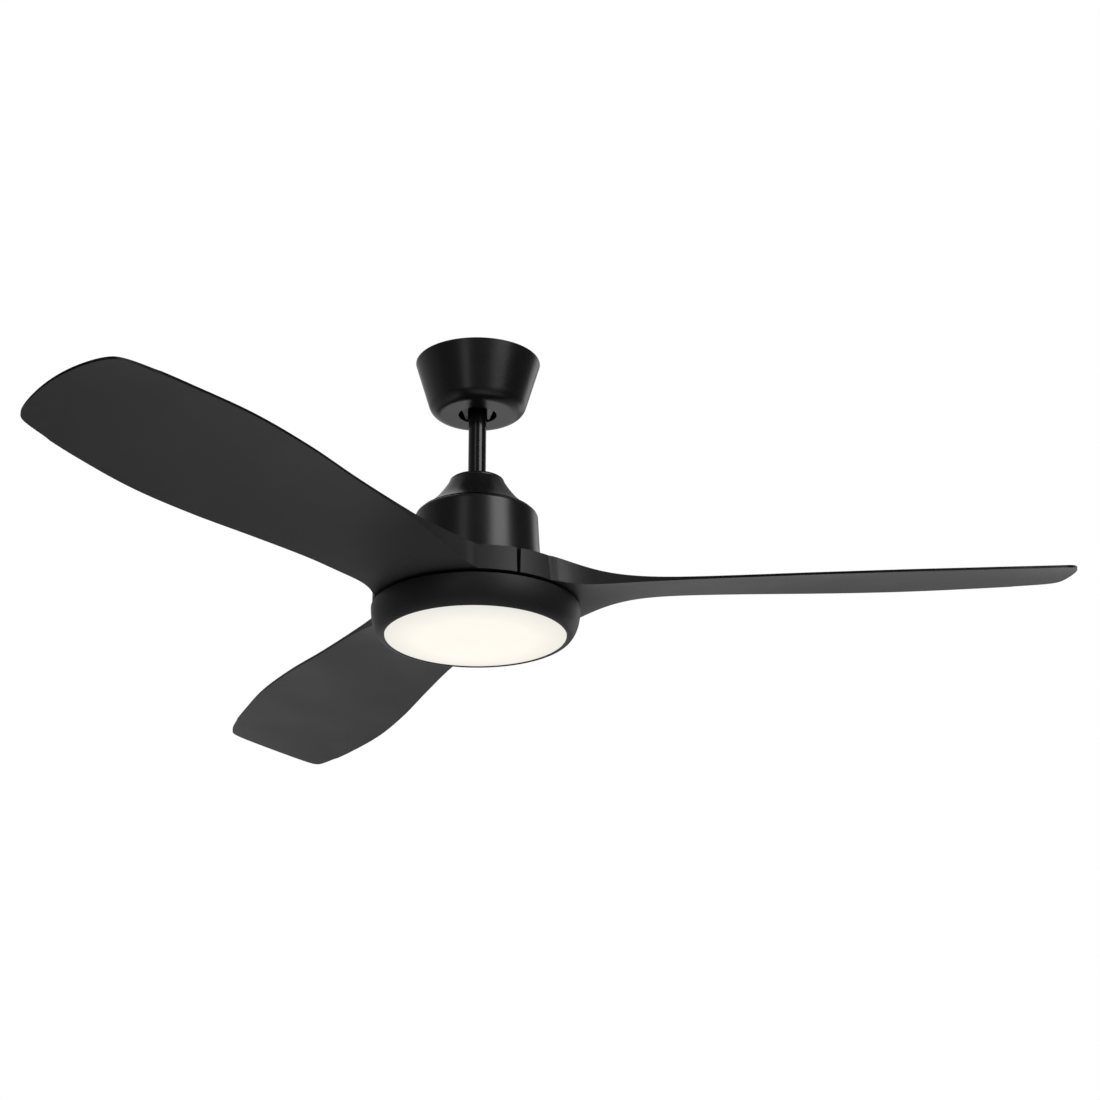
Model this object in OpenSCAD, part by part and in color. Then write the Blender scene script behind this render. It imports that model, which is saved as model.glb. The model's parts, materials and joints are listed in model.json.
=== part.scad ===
// Three-blade ceiling fan with a flat LED light, hung on a short rod from a ball joint.
// Millimetres. The origin is the centre of the ceiling plate, on the ceiling; +Z points up into the ceiling.

/* [Ceiling fixing] */
// Length of the ceiling plate
plate_l = 128; // [124:1:130]
// Width of the ceiling plate
plate_w = 44; // [42:1:46]
// Thickness of the bracket steel
plate_t = 2; // [1.5:0.5:2]
// Distance between the middles of the two ceiling slots
slot_spacing = 89; // [84:1:92]
// Width of a ceiling slot
slot_w = 5.5; // [4.5:0.5:6]
// Length of a ceiling slot, end to end
slot_l = 12; // [8:1:13]
// Radius of the cable hole in the ceiling plate
cable_hole_r = 11; // [8:0.5:12]

/* [Canopy] */
// Outer radius of the canopy at the ceiling
canopy_r = 70.5; // [70:0.5:74]
// Radius that the side would reach at the canopy's bottom
canopy_base_r = 51.7; // [50:0.1:56]
// Height of the canopy
canopy_h = 63.1; // [62:0.1:68]
// Rounding between the canopy's side and bottom
canopy_fillet = 15.9; // [10:0.1:18]
// Radius of the hole that the rod swings in
canopy_hole_r = 21.5; // [19:0.5:24]
// Wall thickness of the canopy
canopy_wall = 1.2; // [1:0.1:1.6]

/* [Ball joint and rod] */
// Radius of the hanger ball
ball_r = 17; // [16.5:0.1:17.5]
// Depth of the ball's centre below the ceiling
ball_depth = 36; // [35:0.5:37]
// Outer radius of the rod
rod_r = 10; // [9.5:0.1:10.2]
// Wall thickness of the rod
rod_wall = 1.6; // [1.2:0.1:2]
// Depth of the rod's lower end below the ceiling
rod_end = 171.5; // [170:0.5:172]

/* [Coupling cover and motor housing] */
// Radius of the flat top of the coupling cover
cover_top_r = 30.8; // [30:0.1:32]
// Radius of the coupling cover's rim
cover_rim_r = 64; // [62:0.5:65]
// Depth of the coupling cover's top below the ceiling
cover_top = 143.1; // [142:0.1:145]
// Outer radius of the motor housing at its shoulder
housing_top_r = 68.4; // [68:0.1:69]
// Outer radius of the motor housing at its lower edge
housing_low_r = 72; // [71:0.1:74]
// Depth of the motor housing's top below the ceiling
housing_top = 185.5; // [185:0.1:186]
// Depth of the motor housing's lower edge below the ceiling
housing_low = 259.5; // [258:0.1:260]
// Rounding of the motor housing's shoulder
housing_fillet = 5.3; // [3:0.1:6]

/* [Blades] */
// Radius of the circle that the blade tips run on
tip_r = 653.4; // [560:1:760]
// Outer radius of the hub that the blade roots form
hub_r = 113.6; // [112:0.2:114]
// Height of the hub
hub_h = 30; // [28:0.5:30]
// Depth of the hub's underside below the ceiling
hub_low = 292.5; // [292:0.1:293]
// Direction of the first blade, in degrees from +X
first_blade = -4.8; // [-60:0.1:60]
// Thickness of the thin part of a blade
blade_t = 2.9; // [2.8:0.1:6]
// Pitch of the blades, in degrees
blade_pitch = 13; // [8:0.1:16]
// How far the tip's edge drops back 60 mm to either side of its middle.
tip_bulge = 8.5; // [2:0.1:20]
// Softness of the tip's corners.
tip_soft = 16.9; // [4:0.1:30]

/* [Light] */
// Outer radius of the light ring
ring_r = 114.9; // [113:0.1:118]
// Depth of the light ring's top below the ceiling
ring_top = 295; // [294.8:0.1:296]
// Depth of the light ring's lower lip below the ceiling
ring_low = 329.5; // [329:0.1:331]
// Radius of the diffuser
diffuser_r = 99.6; // [99:0.1:99.7]
// How far the diffuser's middle bulges below its edge
diffuser_crown = 3; // [1:0.5:6]

/* [Hidden] */
$fn = 64;
eps = 0.01;
black = "#1b1b1d";
blade_grey = "#2c2c2f";
steel = "#b9bcc0";

// Ceiling bracket
leg_x = 30;
leg_w = 30;
seat_clear = 0.2;
liner_gap = 0.15;
liner_in = ball_r + liner_gap;
liner_out = ball_r + 2.35;
seat_in = liner_out + seat_clear;
seat_out = 23;
seat_low = 11.2;
seat_high = 3;
liner_from = -34;
liner_to = -6;
insert_gap = 2 * rod_r + 1.2;
turn_pin_r = 1.5;
trunnion_r = 2.6;
stop_y = 11.5;
stop_slope = 39.3;
ear_x = 62;
ear_h = 12;
canopy_screw_z = -8;
earth_x = 22;
screw_r = 2;

// Rod, ball and coupler
rod_top = 22;
rod_in = rod_r - rod_wall;
rod_fit = 0.05;
ball_pin_r = 2.5;
ball_pin_z = -ball_depth + 3;
lead_r = 1.9;
lead_side = 5.6;
lead_top = 16;
lead_low = 301;
coupler_r = 15;
coupler_top = 150;
coupler_flange_r = 28;
coupler_pin_r = 3;
coupler_pin_z = -160;
coupler_screw_z = -168;
cover_wall = 1.5;
cover_fillet = 3.7;

// Motor
housing_wall = 1.6;
housing_plate_top = housing_top + housing_wall;
housing_plate_t = 2;
housing_hole_r = 30;
shaft_r = 7.5;
shaft_in = 5;
shaft_top = 173;
shaft_shoulder = ring_top;
shaft_low = 309;
thread_r = 6.4;
bearing_r = 17.5;
bearing_h = 10;
bearing_mid = 12.5;
bearing_ball_r = 2.98;
bearing_ball_n = 8;
groove_r = 3.03;
upper_bearing = 202.5;
lower_bearing = 248.5;
case_r = 58;
case_screw_ring = case_r + 3;
case_in = 55;
case_top = 206;
case_split = 231;
case_low = 256.5;
stator_r = 50.8;
stator_top = 214;
stator_h = 20;
teeth = 12;
tooth_w = 8;
poles = 14;
board_top = 239.5;

// Hub and blades
blade_n = 3;
pitch_angle = 360 / blade_n;
hub_top = hub_low - hub_h;
hub_in = 38;
hub_seam = 3;
hub_turn = -1.7;
hub_slope = 2.7;
hub_edge_h = hub_h - hub_slope;
pad_t = 0.8;
carrier_top = case_low + 1.7;
carrier_low = hub_top - pad_t;
carrier_r = 66;
blade_bolt_r = 60;
blade_bolt_a = 32;
// Each station: distance from the fan's axis, reach to the leading edge, reach to the trailing edge.
outline = [
    [70, 66.2, 76], [113.6, 66.2, 76], [124, 61.7, 68.3], [136, 58.2, 63.4], [150, 55.3, 61.6],
    [180, 53.3, 62.5], [225, 55.4, 65.1], [305, 60.4, 73.4], [390, 67.3, 82.7], [475, 68.8, 87.3],
    [558, 61.5, 83.8], [617, 53.9, 78.3], [653, 46.4, 74.7]
];
outline_r = 653;
root_fade = 51.1;
root_power = 1.36;
pitch_fade = 38.2;
pitch_power = 1.34;
root_z = -278.85;
blade_z = -275.67;
tip_sweep = 3.45;
sweep_from = 400;
blade_camber = 4.2;
camber_run = 335;
root_step = 0.4;
edge_round = 1.6;
chord_steps = 8;

// Light
pan_t = 1.5;
ring_wall = 2;
lip_r = 100.15;
ring_curve_top = ring_top + 2.9;
light_plate_r = 29;
light_plate_t = 2;
post_r = 3;
post_ring = 75;
board_z = 318;
board_t = 1.6;
board_r = 90;
skirt_r = 97.8;
skirt_t = 2;
lug_n = 3;
lug_a = 14;
shelf_a = 16;
shelf_top = 321;
shelf_t = 1.6;
lug_gap = 0.2;
clip_r = 104;
lug_t = 2;
diffuser_edge = 328.4;
diffuser_t = 1.8;

// ---------- shared shapes ----------

// A cylinder along the axis between two depths below the ceiling.
module drop(top, low, r) {
    translate([0, 0, -low])
        cylinder(r = r, h = low - top);
}

// A tube between two depths below the ceiling.
module drop_tube(top, low, r, r_in) {
    difference() {
        drop(top, low, r);
        drop(top - 1, low + 1, r_in);
    }
}

// A cylinder along +X that starts at x.
module along_x(x, y, z, r, h) {
    translate([x, y, z])
        rotate([0, 90, 0])
            cylinder(r = r, h = h);
}

// A cylinder along +Y that starts at y.
module along_y(x, y, z, r, h) {
    translate([x, y, z])
        rotate([-90, 0, 0])
            cylinder(r = r, h = h);
}

// Copies spread evenly round the axis.
module ring_of(n, r, start = 0) {
    for (i = [0:n - 1])
        rotate([0, 0, start + i * 360 / n])
            translate([r, 0, 0])
                children();
}

// A pan-head screw that points up, with its head's top face at the origin.
module screw_up(r, length, head_r, head_h) {
    translate([0, 0, -head_h / 4])
        cylinder(r = r, h = length + head_h / 4);
    translate([0, 0, -head_h])
        difference() {
            cylinder(r = head_r, h = head_h);
            translate([0, 0, -eps])
                cylinder(r = head_r * 0.45, h = head_h * 0.5, $fn = 6);
        }
}

// A pan-head screw that points down, with its head's underside at the origin.
module screw_down(r, length, head_r, head_h) {
    rotate([180, 0, 0])
        screw_up(r, length, head_r, head_h);
}

// ---------- ceiling bracket, canopy and wiring ----------

module ball_seat() {
    difference() {
        union() {
            translate([0, 0, -ball_depth - seat_low])
                cylinder(r = seat_out, h = seat_low + seat_high);
            for (side = [0, 1])
                mirror([side, 0, 0])
                    swing_stop();
        }
        translate([0, 0, -ball_depth])
            sphere(r = seat_in);
        trunnions(trunnion_r + 0.2, seat_out + 1);
    }
}

// A pointed tab that slopes back and down from the seat's underside, beside the rod.
module swing_stop()
    translate([0, stop_y, -ball_depth - seat_low - 0.8])
        rotate([90 + stop_slope, 0, 0])
            linear_extrude(height = 1.6)
                polygon([[11, 1.6], [18.5, 1.6], [18.2, -2], [13.4, -14], [11, -14]]);

// Round pivots along X on both sides of the ball, from inside the liner out to the radius given.
module trunnions(r, out)
    for (side = [-1, 1])
        translate([side * (liner_out - 1), 0, -ball_depth])
            rotate([0, side * 90, 0])
                cylinder(r = r, h = out - liner_out + 1);

module bracket_leg(side) {
    leg_low = ball_depth + seat_low;
    translate([side * (leg_x + plate_t / 2), 0, -leg_low / 2])
        cube([plate_t, leg_w, leg_low], center = true);
    difference() {
        translate([side * (leg_x + seat_out - 2) / 2, 0, -leg_low + plate_t / 2])
            cube([leg_x - seat_out + 4, leg_w, plate_t], center = true);
        drop(0, leg_low + 1, seat_out - 1);
    }
}

module bracket_ear(side) {
    difference() {
        translate([side * (ear_x + plate_t / 2), 0, -ear_h / 2])
            cube([plate_t, 16, ear_h], center = true);
        rotate([0, 0, 90 - 90 * side])
            canopy_screw_place()
                translate([0, 0, -12])
                    cylinder(r = screw_r, h = 12);
    }
}

module hanger_bracket() color(steel) {
    difference() {
        union() {
            translate([-plate_l / 2, -plate_w / 2, -plate_t])
                cube([plate_l, plate_w, plate_t]);
            for (side = [-1, 1]) {
                bracket_leg(side);
                bracket_ear(side);
            }
            ball_seat();
        }
        drop(-1, plate_t + 1, cable_hole_r);
        for (side = [-1, 1])
            for (end = [-1, 1])
                translate([side * slot_spacing / 2 + end * (slot_l - slot_w) / 2, 0, -plate_t - 1])
                    cylinder(r = slot_w / 2, h = plate_t + 2);
        for (side = [-1, 1])
            translate([side * slot_spacing / 2, 0, -plate_t / 2])
                cube([slot_l - slot_w, slot_w, plate_t + 2], center = true);
        translate([-insert_gap / 2, 0, -ball_depth - seat_low - 1])
            cube([insert_gap, seat_out + 1, seat_low + seat_high + 2]);
        translate([-earth_x, 0, -plate_t - 1])
            cylinder(r = screw_r, h = plate_t + 2);
    }
    along_y(0, -seat_out + 1, -ball_depth, turn_pin_r, seat_out - 1 - ball_r + 3);
}

side_a = atan2(canopy_r - canopy_base_r, canopy_h);
fillet_z = -canopy_h + canopy_fillet;
fillet_x = canopy_r + fillet_z * tan(side_a) - canopy_fillet / cos(side_a);

// Points on a quarter arc or less, from one angle to another.
arc_steps = 12;
function arc_line(x, z, r, from, to) = [for (i = [0:arc_steps]) let (t = from + (to - from) * i / arc_steps)
    [x + r * cos(t), z + r * sin(t)]];

// Half of the canopy's outline, moved inward by inset.
module canopy_section(inset)
    polygon(concat(
        [[0, 1], [canopy_r + tan(side_a) - inset / cos(side_a), 1]],
        arc_line(fillet_x, fillet_z, canopy_fillet - inset, -side_a, -90),
        [[0, -canopy_h + inset]]
    ));

module canopy() color(black) {
    difference() {
        rotate_extrude($fn = 160)
            intersection() {
                difference() {
                    canopy_section(0);
                    canopy_section(canopy_wall);
                }
                translate([canopy_hole_r, -canopy_h - 1])
                    square([canopy_r, canopy_h + 1]);
            }
        for (side = [0, 180])
            rotate([0, 0, side])
                canopy_screw_shape(0.1);
    }
}

// On the canopy's side at +X, with +Z pointing straight out of it.
module canopy_screw_place()
    translate([canopy_r + canopy_screw_z * tan(side_a), 0, canopy_screw_z])
        rotate([0, 90 + side_a, 0])
            children();

// A countersunk screw, flush with the canopy's side.
module canopy_screw_shape(gap) {
    head = screw_r + 1.6 + gap;
    canopy_screw_place() {
        translate([0, 0, -2.1])
            cylinder(r1 = screw_r + gap, r2 = head, h = 2);
        translate([0, 0, -9])
            cylinder(r = screw_r + gap, h = 8);
        if (gap > 0)
            translate([0, 0, -0.1])
                cylinder(r = head, h = 2);
    }
}

module canopy_screws() color(black)
    for (side = [0, 180])
        rotate([0, 0, side])
            canopy_screw_shape(-0.05);

block_l = 36;
block_y = -28;
block_w = 13;
block_h = 16;
lead_ring = 22;
lead_from = -46;
lead_to = 52;
wire_r = 1.4;
live_z = -7;
neutral_z = -12;

// A lead bent round the middle of the ceiling plate, from the terminal block to the receiver.
module supply_lead(z, r)
    translate([0, 0, z])
        rotate([0, 0, lead_from])
            rotate_extrude(angle = lead_to - lead_from)
                translate([lead_ring, 0])
                    circle(r = r);

module lead_sockets() {
    supply_lead(live_z, wire_r + 0.1);
    supply_lead(neutral_z, wire_r + 0.1);
}

pole_pitch = 11;

module terminal_block() color("ivory")
    difference() {
        translate([-block_l / 2, block_y, -plate_t - block_h])
            cube([block_l, block_w, block_h]);
        for (i = [-1:1])
            translate([i * pole_pitch, block_y + block_w / 2, -plate_t - block_h - 1])
                cylinder(r = screw_r + 0.4, h = 7);
        for (i = [-1:1])
            along_y(i * pole_pitch, block_y - 1, -plate_t - block_h + 9, 1.9, 6);
        lead_sockets();
    }

module terminal_screws() color("goldenrod")
    for (i = [-1:1])
        translate([i * pole_pitch, block_y + block_w / 2, -plate_t - block_h + 1])
            difference() {
                cylinder(r = screw_r + 0.2, h = 5);
                translate([0, 0, 0.4])
                    cube([6, 0.8, 1], center = true);
            }

module earth_screw() color("green")
    translate([-earth_x, 0, -plate_t])
        screw_up(screw_r - 0.05, plate_t - 0.2, 4, 2.4);

receiver_l = 60;
receiver_y = 17;
receiver_w = 21;
receiver_h = 24;

module receiver_box() color("white")
    difference() {
        translate([-receiver_l / 2, receiver_y, -plate_t - receiver_h])
            cube([receiver_l, receiver_w, receiver_h]);
        translate([0, receiver_y + receiver_w, -plate_t - receiver_h / 2])
            cube([receiver_l - 8, 1.6, receiver_h - 8], center = true);
        lead_sockets();
    }

module live_lead() color("saddlebrown")
    supply_lead(live_z, wire_r);

module neutral_lead() color("royalblue")
    supply_lead(neutral_z, wire_r);

// ---------- ball joint ----------

// A zone of a thick ball, between two latitudes.
module ball_zone(r_out, r_in, from, to) {
    rotate_extrude($fn = 96)
        difference() {
            circle(r = r_out);
            circle(r = r_in);
            translate([-2 * r_out, -r_out])
                square([2 * r_out, 2 * r_out]);
            polygon([[0, 0], [3 * r_out * cos(to), 3 * r_out * sin(to)], [0, 3 * r_out]]);
            polygon([[0, 0], [3 * r_out * cos(from), 3 * r_out * sin(from)], [0, -3 * r_out]]);
        }
}

module ball_liner() color("ivory") {
    trunnions(trunnion_r, seat_out - 0.8);
    translate([0, 0, -ball_depth])
        difference() {
            ball_zone(liner_out, liner_in, liner_from, liner_to);
            translate([-insert_gap / 2, 0, -liner_out])
                cube([insert_gap, liner_out + 1, liner_out]);
            translate([-turn_pin_r - 0.4, -liner_out - 1, liner_out * sin(-19)])
                cube([2 * turn_pin_r + 0.8, 8, liner_out]);
        }
}

ball_low = 14;
ball_high = 12;

module hanger_ball() color("#3a3a3c")
    translate([0, 0, -ball_depth])
        difference() {
            intersection() {
                sphere(r = ball_r, $fn = 96);
                translate([-ball_r, -ball_r, -ball_low])
                    cube([2 * ball_r, 2 * ball_r, ball_low + ball_high]);
            }
            translate([0, 0, -ball_r])
                cylinder(r = rod_r + rod_fit, h = 2 * ball_r);
            along_x(-ball_r - 1, 0, ball_pin_z + ball_depth, ball_pin_r + rod_fit, 2 * ball_r + 2);
            along_y(0, 0, 8, 2.5 + rod_fit, ball_r);
            translate([-3.1, -ball_r - 1, -ball_r])
                cube([6.2, ball_r + 1 - 12.8, 2 * ball_r]);
        }

module ball_pin() color(steel)
    along_x(-15, 0, ball_pin_z, ball_pin_r, 30);

module ball_screw() color(steel)
    difference() {
        along_y(0, rod_r + 0.1, -ball_depth + 8, 2.5, 4.5);
        translate([0, rod_r + 4.6, -ball_depth + 8])
            rotate([90, 0, 0])
                cylinder(r = 1.3, h = 2, $fn = 6);
    }

module downrod() color(black)
    difference() {
        drop_tube(rod_top, rod_end, rod_r, rod_in);
        along_x(-rod_r - 1, 0, ball_pin_z, ball_pin_r + rod_fit, 2 * rod_r + 2);
        along_x(-rod_r - 1, 0, coupler_pin_z, coupler_pin_r + rod_fit, 2 * rod_r + 2);
    }

// The cable runs beside the ball pin and the coupler pin, and in the middle of the plug and the shaft.
function ease(t) = let (u = min(1, max(0, t))) u * u * (3 - 2 * u);
function lead_y(depth) = lead_side * ease((depth - lead_top) / 11) * (1 - ease((depth - 163.5) / 14));
lead_depths = concat([for (k = [0:6]) lead_top + 2 * k], [60, 95, 130],
    [for (k = [0:8]) 162 + 2 * k], [200, 235, 270, lead_low]);
lead_sides = 10;

module motor_lead() color("dimgray") {
    last = len(lead_depths) - 1;
    points = [for (depth = lead_depths) for (k = [0:lead_sides - 1])
        [lead_r * cos(360 * k / lead_sides), lead_y(depth) + lead_r * sin(360 * k / lead_sides), -depth]];
    sides = [for (i = [0:last - 1]) for (k = [0:lead_sides - 1]) let (m = (k + 1) % lead_sides)
        [i * lead_sides + k, i * lead_sides + m, (i + 1) * lead_sides + m, (i + 1) * lead_sides + k]];
    start_cap = [[for (k = [lead_sides - 1:-1:0]) k]];
    end_cap = [[for (k = [0:lead_sides - 1]) last * lead_sides + k]];
    polyhedron(points = points, faces = concat(sides, start_cap, end_cap));
}

module lead_plug() color("white")
    difference() {
        translate([-6, -5, -16])
            cube([12, 10, 10]);
        for (i = [-1, 1])
            translate([i * 2.6, 0, -10])
                cylinder(r = 1.2, h = 5);
    }

// ---------- coupler and covers ----------

module rod_coupler() color("#5b5d60")
    difference() {
        union() {
            drop(coupler_top, housing_plate_top, coupler_r);
            drop(housing_plate_top - 3.6, housing_plate_top, coupler_flange_r);
        }
        drop(coupler_top - 1, rod_end + 0.5, rod_r + rod_fit);
        drop(rod_end, housing_plate_top + 1, shaft_r + 0.02);
        along_x(-coupler_r - 1, 0, coupler_pin_z, coupler_pin_r + rod_fit, 2 * coupler_r + 2);
        along_y(0, -coupler_r - 1, coupler_screw_z, 3.05, 2 * coupler_r + 2);
        ring_of(4, 22, 45)
            translate([0, 0, -housing_plate_top - 1])
                cylinder(r = screw_r + 0.1, h = 6);
    }

module coupler_pin() color(steel)
    difference() {
        union() {
            along_x(-coupler_r - 2, 0, coupler_pin_z, coupler_pin_r, 2 * coupler_r + 8);
            along_x(-coupler_r - 4, 0, coupler_pin_z, 4.6, 3);
        }
        along_y(coupler_r + 3, -4, coupler_pin_z, 0.9, 8);
    }

module pin_clip() color("silver")
    translate([coupler_r + 3, 0, coupler_pin_z]) {
        along_y(0, -8, 0, 0.8, 16);
        translate([0, -8, 4])
            rotate([0, 90, 0])
                rotate([0, 0, -180])
                    rotate_extrude(angle = 180)
                        translate([4, 0])
                            circle(r = 0.8);
        translate([0, -8, 8])
            rotate([-90, 0, 0])
                cylinder(r = 0.8, h = 12);
    }

module coupler_screws() color(steel)
    for (side = [0, 180])
        rotate([0, 0, side]) {
            along_y(0, rod_r + 0.1, coupler_screw_z, 3, 7);
            translate([0, coupler_r + 0.1, coupler_screw_z])
                rotate([-90, 0, 0])
                    cylinder(r = 5, h = 3.6, $fn = 6);
        }

// A point on the flared side of the coupling cover, and its wall moved inward by inset.
flare = [[cover_top_r, -cover_top - cover_fillet], [cover_top_r, -cover_top - cover_fillet],
    [44.2, -173.1], [cover_rim_r, -housing_top + 0.55]];
flare_steps = 20;
function bezier(p, t) = pow(1 - t, 3) * p[0] + 3 * t * pow(1 - t, 2) * p[1]
    + 3 * t * t * (1 - t) * p[2] + pow(t, 3) * p[3];
function bezier_way(p, t) = let (d = bezier(p, t + eps) - bezier(p, t - eps)) d / norm(d);
function flare_point(t, inset) = bezier(flare, t)
    + inset * (t == 0 ? [-1, 0] : [bezier_way(flare, t)[1], -bezier_way(flare, t)[0]]);
function flare_line(inset) = [for (i = [0:flare_steps]) flare_point(i / flare_steps, inset)];

module cover_section(inset) {
    line = flare_line(inset);
    rim = line[flare_steps];
    polygon(concat(
        [[0, -cover_top - inset]],
        arc_line(cover_top_r - cover_fillet, -cover_top - cover_fillet, cover_fillet - inset, 90, 0),
        [for (i = [1:flare_steps]) line[i]],
        [[rim[0], -housing_top - 1], [0, -housing_top - 1]]
    ));
}

module coupling_cover() color(black)
    rotate_extrude($fn = 160)
        intersection() {
            difference() {
                cover_section(0);
                cover_section(cover_wall);
            }
            translate([rod_r + 0.6, -housing_top + 0.2])
                square([cover_rim_r, housing_top - cover_top + 1]);
        }

// Half of the motor housing's outline, moved inward by inset.
module housing_section(inset) {
    slope = (housing_low_r - housing_top_r) / (housing_low - housing_top - housing_fillet);
    polygon(concat(
        [[0, -housing_top - inset]],
        arc_line(housing_top_r - housing_fillet, -housing_top - housing_fillet, housing_fillet - inset, 90, 0),
        [[housing_low_r + slope - inset, -housing_low - 1], [0, -housing_low - 1]]
    ));
}

module motor_housing() color(black)
    difference() {
        rotate_extrude($fn = 160)
            intersection() {
                difference() {
                    housing_section(0);
                    housing_section(housing_wall);
                }
                translate([housing_hole_r, -housing_low])
                    square([housing_low_r, housing_low - housing_top + 1]);
            }
        ring_of(4, 50)
            translate([0, 0, -housing_top - 3])
                cylinder(r = screw_r + 0.1, h = 4);
    }

module housing_plate() color(steel)
    difference() {
        drop(housing_plate_top, housing_plate_top + housing_plate_t, 60);
        drop(housing_plate_top - 1, housing_plate_top + 4, shaft_r + 0.3);
        ring_of(4, 22, 45)
            translate([0, 0, -housing_plate_top - 3])
                cylinder(r = screw_r + 0.02, h = 4);
        ring_of(4, 50)
            translate([0, 0, -housing_plate_top - 3])
                cylinder(r = screw_r + 0.02, h = 4);
    }

module plate_screws() color(steel)
    ring_of(4, 22, 45)
        translate([0, 0, -housing_plate_top + 3.6])
            screw_down(screw_r, 6.5, 3.6, 2.4);

module housing_screws() color(steel)
    ring_of(4, 50)
        translate([0, 0, -housing_top])
            screw_down(screw_r, 5, 3.6, 2.2);

// ---------- motor ----------

module motor_shaft() color(steel)
    difference() {
        union() {
            drop(shaft_top, shaft_shoulder, shaft_r);
            drop(shaft_shoulder - 1, shaft_low, thread_r);
        }
        drop(shaft_top - 1, shaft_low + 1, shaft_in);
    }

module stator_hub() color("whitesmoke")
    difference() {
        union() {
            drop(stator_top - 2, board_top, 13.9);
            drop(stator_top - 2, stator_top, 22);
        }
        drop(stator_top - 3, board_top + 1, shaft_r + 0.02);
    }

module stator_outline() {
    difference() {
        circle(r = 24);
        circle(r = 14);
    }
    for (i = [0:teeth - 1])
        rotate(i * 360 / teeth) {
            translate([22, -tooth_w / 2])
                square([26, tooth_w]);
            intersection() {
                difference() {
                    circle(r = stator_r);
                    circle(r = 47);
                }
                polygon([[0, 0], [60, -60 * tan(12)], [60, 60 * tan(12)]]);
            }
        }
}

module stator_core() color("#6d7075")
    translate([0, 0, -stator_top - stator_h])
        linear_extrude(height = stator_h)
            stator_outline();

module stator_coils() color("#b5651d")
    ring_of(teeth, 36)
        translate([0, 0, -stator_top - stator_h / 2])
            difference() {
                cube([18, tooth_w + 5.6, stator_h + 6], center = true);
                cube([20, tooth_w + 0.2, stator_h + 0.2], center = true);
            }

module motor_board() color("darkgreen")
    difference() {
        drop(board_top, board_top + board_t, 46);
        drop(board_top - 1, board_top + 3, shaft_r + 0.5);
    }

module inner_race(mid)
    translate([0, 0, -mid])
        rotate_extrude($fn = 96)
            difference() {
                translate([shaft_r + 0.02, -bearing_h / 2])
                    square([3.4, bearing_h]);
                translate([bearing_mid, 0])
                    circle(r = groove_r);
            }

module outer_race(mid)
    translate([0, 0, -mid])
        rotate_extrude($fn = 96)
            difference() {
                translate([bearing_r - 3.4, -bearing_h / 2])
                    square([3.4, bearing_h]);
                translate([bearing_mid, 0])
                    circle(r = groove_r);
            }

module bearing_inner_races() color("silver")
    for (mid = [upper_bearing, lower_bearing])
        inner_race(mid);

module bearing_outer_races() color("silver")
    for (mid = [upper_bearing, lower_bearing])
        outer_race(mid);

module bearing_balls() color("silver")
    for (mid = [upper_bearing, lower_bearing])
        ring_of(bearing_ball_n, bearing_mid)
            translate([0, 0, -mid])
                sphere(r = bearing_ball_r);

// One end of the turning case: a cup with a bearing boss; mid is the bearing's depth.
module case_shell(disc_from, disc_to, wall_from, wall_to, mid) {
    boss_r = bearing_r + 3;
    difference() {
        union() {
            drop(disc_from, disc_to, case_r);
            drop_tube(wall_from, wall_to, case_r, case_in);
            drop(min(disc_from, mid - bearing_h / 2), max(disc_to, mid + bearing_h / 2), boss_r);
        }
        drop(mid - bearing_h / 2 - 5, mid + bearing_h / 2 + 5, bearing_r + 0.02);
        ring_of(6, 38, 30)
            translate([0, 0, -disc_to - 1])
                cylinder(r = 6, h = disc_to - disc_from + 2);
    }
}

module case_flange(from, to)
    difference() {
        drop_tube(from, to, case_screw_ring + 3.2, case_in);
        ring_of(6, case_screw_ring)
            translate([0, 0, -to - 1])
                cylinder(r = 1.52, h = to - from + 2);
    }

module rotor_case_top() color("gray") {
    difference() {
        case_shell(case_top, case_top + 2.5, case_top, case_split, upper_bearing);
        ring_of(6, case_screw_ring)
            translate([0, 0, -case_split - 1])
                cylinder(r = 1.52, h = 4);
    }
    case_flange(case_split - 2, case_split);
}

module rotor_case_bottom() color("gray") {
    difference() {
        case_shell(case_low - 2.5, case_low, case_split, case_low, lower_bearing);
        ring_of(6, case_screw_ring)
            translate([0, 0, -case_split - 3])
                cylinder(r = 1.52, h = 4);
        ring_of(6, 48)
            translate([0, 0, -case_low - 1])
                cylinder(r = screw_r + 0.02, h = 5);
    }
    case_flange(case_split, case_split + 2);
}

module case_screws() color(steel)
    ring_of(6, case_screw_ring)
        translate([0, 0, -case_split - 2])
            screw_up(1.5, 3.9, 2.8, 1.8);

module magnets() color("#303236")
    for (i = [0:poles - 1])
        rotate([0, 0, i * 360 / poles])
            translate([0, 0, -stator_top - stator_h - 2])
                rotate_extrude(angle = 360 / poles - 3)
                    translate([51.6, 0])
                        square([case_in - 51.65, stator_h + 4]);

// ---------- hub and blades ----------

module blade_carrier() color("silver")
    difference() {
        union() {
            drop_tube(carrier_top, carrier_low, carrier_r, 24);
            drop_tube(case_low, carrier_low, 57, 42);
        }
        blade_bolts()
            cylinder(r = 2.52, h = 20, center = true);
        ring_of(6, 48)
            translate([0, 0, -carrier_low - 1])
                cylinder(r = screw_r + 0.1, h = 12);
        ring_of(6, 48)
            translate([0, 0, -carrier_low - 1])
                cylinder(r = 4, h = 3.2);
    }

// The places of the blade bolts, at the underside of the carrier.
module blade_bolts()
    for (i = [0:blade_n - 1])
        for (k = [-1:1])
            rotate([0, 0, first_blade + i * pitch_angle + k * blade_bolt_a])
                translate([blade_bolt_r, 0, -carrier_low])
                    children();

module carrier_screws() color(steel)
    ring_of(6, 48)
        translate([0, 0, -carrier_low + 2.2])
            screw_up(screw_r, 5, 3.6, 2);

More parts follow.
